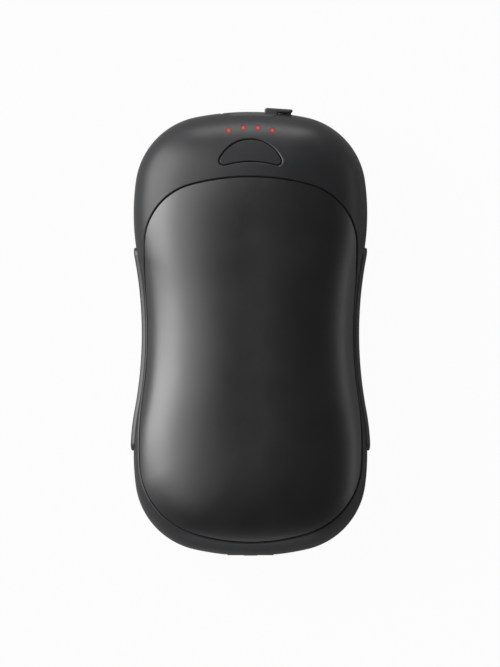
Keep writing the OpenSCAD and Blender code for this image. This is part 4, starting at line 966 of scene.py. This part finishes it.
# ==================================
# Light guide
# One clear red-tinted moulding of four rods on a bar over the indicator lights, held under the
# cover. The rods end almost flush with it, and each is brightest in its middle.
# ==================================
glow_core, glow_rim = (0.6, 0.05, 0.035, 1), (0.24, 0.003, 0.005, 1)
guide_tone = (0.12, 0.005, 0.005, 1)
core_down = 0.12  # how far the brightest point lies towards the foot
cloud_scale = 6000.0
rod_sunk, rod_low_z, rod_facet, rod_edge_r = 0.03, 4.4, 0.2, 0.08
bar_half, bar_foot_y, bar_head_y, bar_low_z, bar_high_z = 6.71, 52.0, 56.4, 4.25, 5.45

guide_red, begin = new_material("guide_red")
coords = begin.add("ShaderNodeTexCoord", None, None, out=3)
flat = begin.add("ShaderNodeVectorMath", {"operation": "MULTIPLY"}, {0: coords, 1: (1, 1, 0)})
near = None
for x, y in dots:
    centre = (x / 1000, (y - core_down - middle_shift) / 1000, 0)
    gap = begin.add("ShaderNodeVectorMath", {"operation": "DISTANCE"}, {0: flat, 1: centre}, out=1)
    near = gap if near is None else gap.maths("MINIMUM", near, gap)
fade = (near * (1000 / (dot_d / 2))) ** 2.0
fade = fade.maths("MINIMUM", fade, 1.0)
cloud = begin.add("ShaderNodeTexNoise", None,
                  {"Vector": coords, "Scale": cloud_scale, "Detail": 2.0})
glow = blended(begin, fade * (cloud * 0.3 + 0.85), glow_core, glow_rim)
shader = begin.add("ShaderNodeBsdfPrincipled", None,
                   {"Base Color": guide_tone, "Roughness": cloud * 0.1 + 0.3,
                    "Specular IOR Level": 0.2, "Emission Color": glow, "Emission Strength": 1.0})
begin.add("ShaderNodeOutputMaterial", None, {"Surface": shader})

guide = None
for i, dot in enumerate(dots):
    rod = plug(f"rod_{i}", disc(dot, dot_d / 2), lambda plan: face_height(plan) - rod_sunk,
               rod_low_z, round_edge(rod_edge_r, (0, 30, 60, 90)), rod_facet)
    guide = rod if guide is None else boolean(guide, rod, "UNION")
bar = prism("bar", [(-bar_half, bar_foot_y), (-bar_half, bar_head_y), (bar_half, bar_head_y),
                    (bar_half, bar_foot_y)], bar_low_z, bar_high_z)
boolean(guide, bar, "UNION")
guide.name = "light_rods"
shaded(guide, domed=False)
placed(guide, guide_red, "housing", "led_light_guide")


# ==================================
# Port flap
# A cap of softer black plastic over the charging port, flush with the end of the body. It has
# a ring that plugs the port, a barrel that turns on a steel pin, and a lip to pull it open.
# ==================================
flap_black = finish("flap_black", (0.05, 0.051, 0.053), 0.4, grain=0.25, depth=0.006)
cap_edge_r, cap_facet = 0.22, 0.5
lip_left, lip_right = 3.7, 3.9  # how far it goes to either side from the cap's right side
lip_back, lip_front, root_r, nose_r = 1.05, 0.62, 0.75, 0.45  # over the end of the body
lip_low_y, lip_under_y, lip_half, lip_soft = 58.4, 59.78, 2.5, 0.4
bed_left, bed_in, bed_right, bed_over = 0.4, 0.03, 3.5, 0.02
bed_low_y, bed_high_y, bed_rear_z, bed_front_z = 59.1, 59.9, -1.9, 0.9
ring_plan, hollow_plan = (10.0, 4.8, 1.1), (8.2, 3.0, 0.55)
ring_low_y, hollow_low_y, ring_in = 57.3, 57, 0.2
pin_bore_r, pin_bore_reach, web_w, web_rise, web_half = 0.33, 3, 1.8, 0.16, 2.1

flap = plug("port_cap", rounded(flap_w, flap_h, flap_corner_r, flap_x), head_height, flap_in_y,
            round_edge(cap_edge_r, (0, 18, 36, 54, 72, 90)), cap_facet, endwise)

# The lip in plan is a strap round two circles, from the root to the thinner nose
right_x = flap_x + flap_w / 2
end_y = body_l / 2
root = np.array([right_x - lip_left + root_r, end_y + lip_back - root_r])
nose = np.array([right_x + lip_right - nose_r, end_y + lip_front - nose_r])
lean = math.atan2(*(nose - root)[::-1])
spread = math.acos((root_r - nose_r) / np.linalg.norm(nose - root))
profile = np.concatenate([
    arc_points(root, root_r, math.pi, lean + spread, 8),
    arc_points(nose, nose_r, lean + spread, lean - spread, 12),
    [[right_x - flap_gap, lip_under_y], [right_x - flap_gap, lip_low_y],
     [right_x - lip_left, lip_low_y]]])
lip = prism("lip", profile, -lip_half, lip_half)
boolean(flap, turned_out(bevel(lip, lip_soft, 5, 60)), "UNION")

# The bed fills the room between the lip and the cover, and reaches into the gap beside the cap
bed_x = np.linspace(right_x + flap_gap - bed_in, right_x + bed_right, 12)
bed_low = np.column_stack([bed_x, head_height(raised(bed_x, 0)) + bed_over])
bed_key_x = right_x - bed_left
bed = [[[bed_key_x, bed_low_y], [bed_key_x, bed_high_y], [bed_x[-1], bed_high_y]],
       bed_low[::-1], [[bed_x[0], bed_low_y]]]
boolean(flap, prism("bed", np.concatenate(bed), bed_rear_z, bed_front_z), "UNION")

# The ring that plugs the port, and the barrel on its web with the bore for the pin
ring = prism("ring", rounded(*ring_plan)(0), ring_low_y, flap_in_y + ring_in, endwise)
hollow = prism("hollow", rounded(*hollow_plan)(0), hollow_low_y, flap_in_y, endwise)
boolean(flap, boolean(ring, hollow, "DIFFERENCE"), "UNION")
hinge = (hinge_x, hinge_y)
barrel = prism("barrel", disc(hinge, barrel_r)(0), -barrel_l / 2, barrel_l / 2)
boolean(flap, barrel, "UNION")
web_top = hinge_y + barrel_r
web = [(hinge_x, flap_in_y), (hinge_x, web_top), (hinge_x + web_w, web_top + web_rise),
       (hinge_x + web_w, flap_in_y)]
boolean(flap, prism("web", web, -web_half, web_half), "UNION")
bore = prism("pin_bore", disc(hinge, pin_bore_r)(0), -pin_bore_reach, pin_bore_reach)
boolean(flap, bore, "DIFFERENCE")
shaded(flap, crease=32)
placed(flap, flap_black, "flap", "port_flap")


# ==================================
# Strap bar
# A blackened steel bar across the recess at the bottom end, thicker in its middle, held by a
# pin at each end between the two covers.
# ==================================
bar_steel = finish("bar_steel", (0.10, 0.102, 0.108), 0.34, grain=0.4, depth=0.002, metal=0.85)


def lathe(name, profile, middle, count=56):
    """A round piece about a line along X through a middle, from places and radii."""
    t = np.linspace(0, 2 * math.pi, count + 1)[:-1]
    rings = [np.stack([np.full(count, x), middle[0] + r * np.cos(t), middle[1] + r * np.sin(t)], 1)
             for x, r in profile]
    return solid(name, rings)


# X and radius along half of the rod, whose thick middle ends in a small round
half_bar = [(0, 1.0), (1.7, 1.0), (1.77, 0.98), (1.84, 0.93), (1.9, 0.9), (6.1, 0.9),
            (6.2, 0.87), (6.27, 0.8)]
pin_ends = [(-7.6, 0.45), (-7.55, 0.5), (7.55, 0.5), (7.6, 0.45)]
rod_y, pin_y = -58.97, -58.75
strap_bar = lathe("strap_rod", [(-x, r) for x, r in half_bar[:0:-1]] + half_bar, (rod_y, 0))
boolean(strap_bar, lathe("pins", pin_ends, (pin_y, 0)), "UNION")
shaded(strap_bar, domed=False)
placed(strap_bar, bar_steel, "housing", "strap_bar")


# ==================================
# Screws
# Six steel pan-head screws join the covers from behind the rear plate, and six smaller ones
# hold the two boards on their posts. Each has a cross recess and a turned thread.
# ==================================
screw_steel = finish("turned_steel", (0.36, 0.37, 0.39), 0.32, grain=0.12, depth=0.002, metal=1.0)
screw_inputs = ("Thread radius", "Length", "Head radius", "Head height", "Pitch")
screw_tree, given = named_tree("screw_at_each_point", screw_inputs)
base = given["Geometry"]


def along_z(height):
    """A vector of a tree along Z."""
    return base.add("ShaderNodeCombineXYZ", None, {2: height})


def drum(radius, depth, middle, sides):
    """A closed drum whose middle stands at a height."""
    made = base.add("GeometryNodeMeshCylinder", None,
                    {"Vertices": sides, "Radius": radius, "Depth": depth})
    return base.add("GeometryNodeTransform", None,
                    {"Geometry": made, "Translation": along_z(middle)})


# The thread is a line of rings that are in turn wide and narrow, two for each turn
root_share, in_head = 0.2, 0.3  # what the narrow rings lose, and how deep the head holds it
line = base.add("GeometryNodeCurvePrimitiveLine", None,
                {"Start": along_z(given["Head height"] * -in_head),
                 "End": along_z(given["Length"])})
turns = given["Length"] / given["Pitch"] * 2
line = base.add("GeometryNodeResampleCurve", None, {"Curve": line, "Count": turns})
index = base.add("GeometryNodeInputIndex")
narrow = index.maths("MODULO", index, 2.0)
circle = base.add("GeometryNodeCurvePrimitiveCircle", None,
                  {"Resolution": 20, "Radius": given["Thread radius"]})
shank = base.add("GeometryNodeCurveToMesh", None,
                 {"Curve": line, "Profile Curve": circle, "Scale": 1 - narrow * root_share,
                  "Fill Caps": True})
head = drum(given["Head radius"], given["Head height"], given["Head height"] * -0.5, 32)
slot_long, slot_wide = 4 / 3, 2 / 7  # of the head's radius
for wide, tall in ((slot_long, slot_wide), (slot_wide, slot_long)):
    size = base.add("ShaderNodeCombineXYZ", None,
                    {0: given["Head radius"] * wide, 1: given["Head radius"] * tall,
                     2: given["Head height"]})
    block = base.add("GeometryNodeMeshCube", None, {"Size": size})
    block = base.add("GeometryNodeTransform", None,
                     {"Geometry": block, "Translation": along_z(given["Head height"] * -1)})
    head = base.add("GeometryNodeMeshBoolean", {"operation": "DIFFERENCE", "solver": "MANIFOLD"},
                    {"Mesh 1": head, "Mesh 2": block})
whole = base.add("GeometryNodeMeshBoolean", {"operation": "UNION", "solver": "MANIFOLD"})
for part in (head, shank):
    base.tree.links.new(part.socket, whole.socket.node.inputs["Mesh 2"])
turn = base.add("GeometryNodeInputNamedAttribute", {"data_type": "FLOAT"}, {"Name": "turn"})
facing = base.add("ShaderNodeCombineXYZ", None, {0: turn})
all_screws = base.add("GeometryNodeInstanceOnPoints", None,
                      {"Points": given["Geometry"], "Instance": whole, "Rotation": facing})
finish_tree(screw_tree, all_screws, given["Finish"])


def posts(places, z, down=False):
    """Points for the screws on pairs of posts, and whether they go down instead of up."""
    return [((side * x, y, z), down) for x, y in places for side in (-1, 1)]


def screws(name, node, places, sizes):
    """One mesh with all screws of a kind."""
    mesh = mesh_of(name, [p for p, down in places], [])
    turned = mesh.attributes.new("turn", "FLOAT", "POINT")
    for item, (p, down) in zip(turned.data, places):
        item.value = math.pi if down else 0.0
    sizes = dict(zip(screw_inputs, sizes))
    piece = turned_out(run_tree(name, mesh, screw_tree, sizes, screw_steel))
    shaded(piece, crease=30, domed=False)
    placed(piece, screw_steel, "housing", node)


cover_posts, cover_seat_z = ((24.8, 31), (24.8, -33.5), (12.5, -50.2)), -5.4
main_posts, main_seat_z = ((15, 35), (14, 50.2)), -1.58
light_posts, light_seat_z = ((11.8, 48.5),), 2.4
cover_screw, board_screw = (1.0, 10.0, 1.9, 1.4, 0.8), (0.9, 5.0, 1.7, 1.1, 0.7)
screws("cover_screw_set", "cover_screws", posts(cover_posts, cover_seat_z), cover_screw)
screws("board_screw_set", "board_screws",
       posts(main_posts, main_seat_z, down=True) + posts(light_posts, light_seat_z), board_screw)


# ==================================
# Cells, boards, films and other inner pieces
# The two cells in their brackets, the heating films and foam behind them, the leads, the boards
# with their parts, the port's frame, the gaskets and the flap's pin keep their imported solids.
# Each has the finish of its own material: a colour, a roughness and whether it is a metal.
# ==================================
finishes = {
    "gasket_adhesive": ((0.02, 0.02, 0.02), 0.8, 0.0),
    "pin_steel": ((0.42, 0.43, 0.45), 0.3, 1.0),
    "insert_plastic": ((0.016, 0.016, 0.017), 0.45, 0.0),
    "cell_can": ((0.03, 0.15, 0.42), 0.35, 0.0),
    "ring_card": ((0.75, 0.72, 0.64), 0.85, 0.0),
    "nickel": ((0.60, 0.60, 0.58), 0.3, 1.0),
    "bracket_plastic": ((0.14, 0.145, 0.15), 0.55, 0.0),
    "heater_film": ((0.6, 0.3, 0.06), 0.35, 0.0),
    "insulation_foam": ((0.82, 0.81, 0.76), 0.9, 0.0),
    "sensor_epoxy": ((0.015, 0.02, 0.03), 0.3, 0.0),
    "board_laminate": ((0.02, 0.16, 0.07), 0.4, 0.0),
    "connector_plastic": ((0.02, 0.02, 0.021), 0.45, 0.0),
    "connector_steel": ((0.55, 0.56, 0.58), 0.28, 1.0),
    "switch_plastic": ((0.03, 0.03, 0.03), 0.45, 0.0),
    "plunger_plastic": ((0.5, 0.5, 0.48), 0.4, 0.0),
    "led_body": ((0.8, 0.78, 0.7), 0.3, 0.0),
    "inductor_ferrite": ((0.05, 0.05, 0.052), 0.7, 0.0),
    "chip_epoxy": ((0.018, 0.018, 0.019), 0.5, 0.0),
    "capacitor_ceramic": ((0.45, 0.32, 0.2), 0.4, 0.0),
    "lead_red": ((0.55, 0.02, 0.015), 0.45, 0.0),
    "lead_black": ((0.015, 0.015, 0.015), 0.45, 0.0),
    "lead_white": ((0.75, 0.75, 0.72), 0.5, 0.0),
}
made = {slot: finish("finish_" + slot, tone, rough, metal=metal)
        for slot, (tone, rough, metal) in finishes.items()}
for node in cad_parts.values():
    if not node.hide_render and node.material_slots:
        slot = node.material_slots[0].material.name.split(".")[0]
        if slot in made:
            node.material_slots[0].material = made[slot]
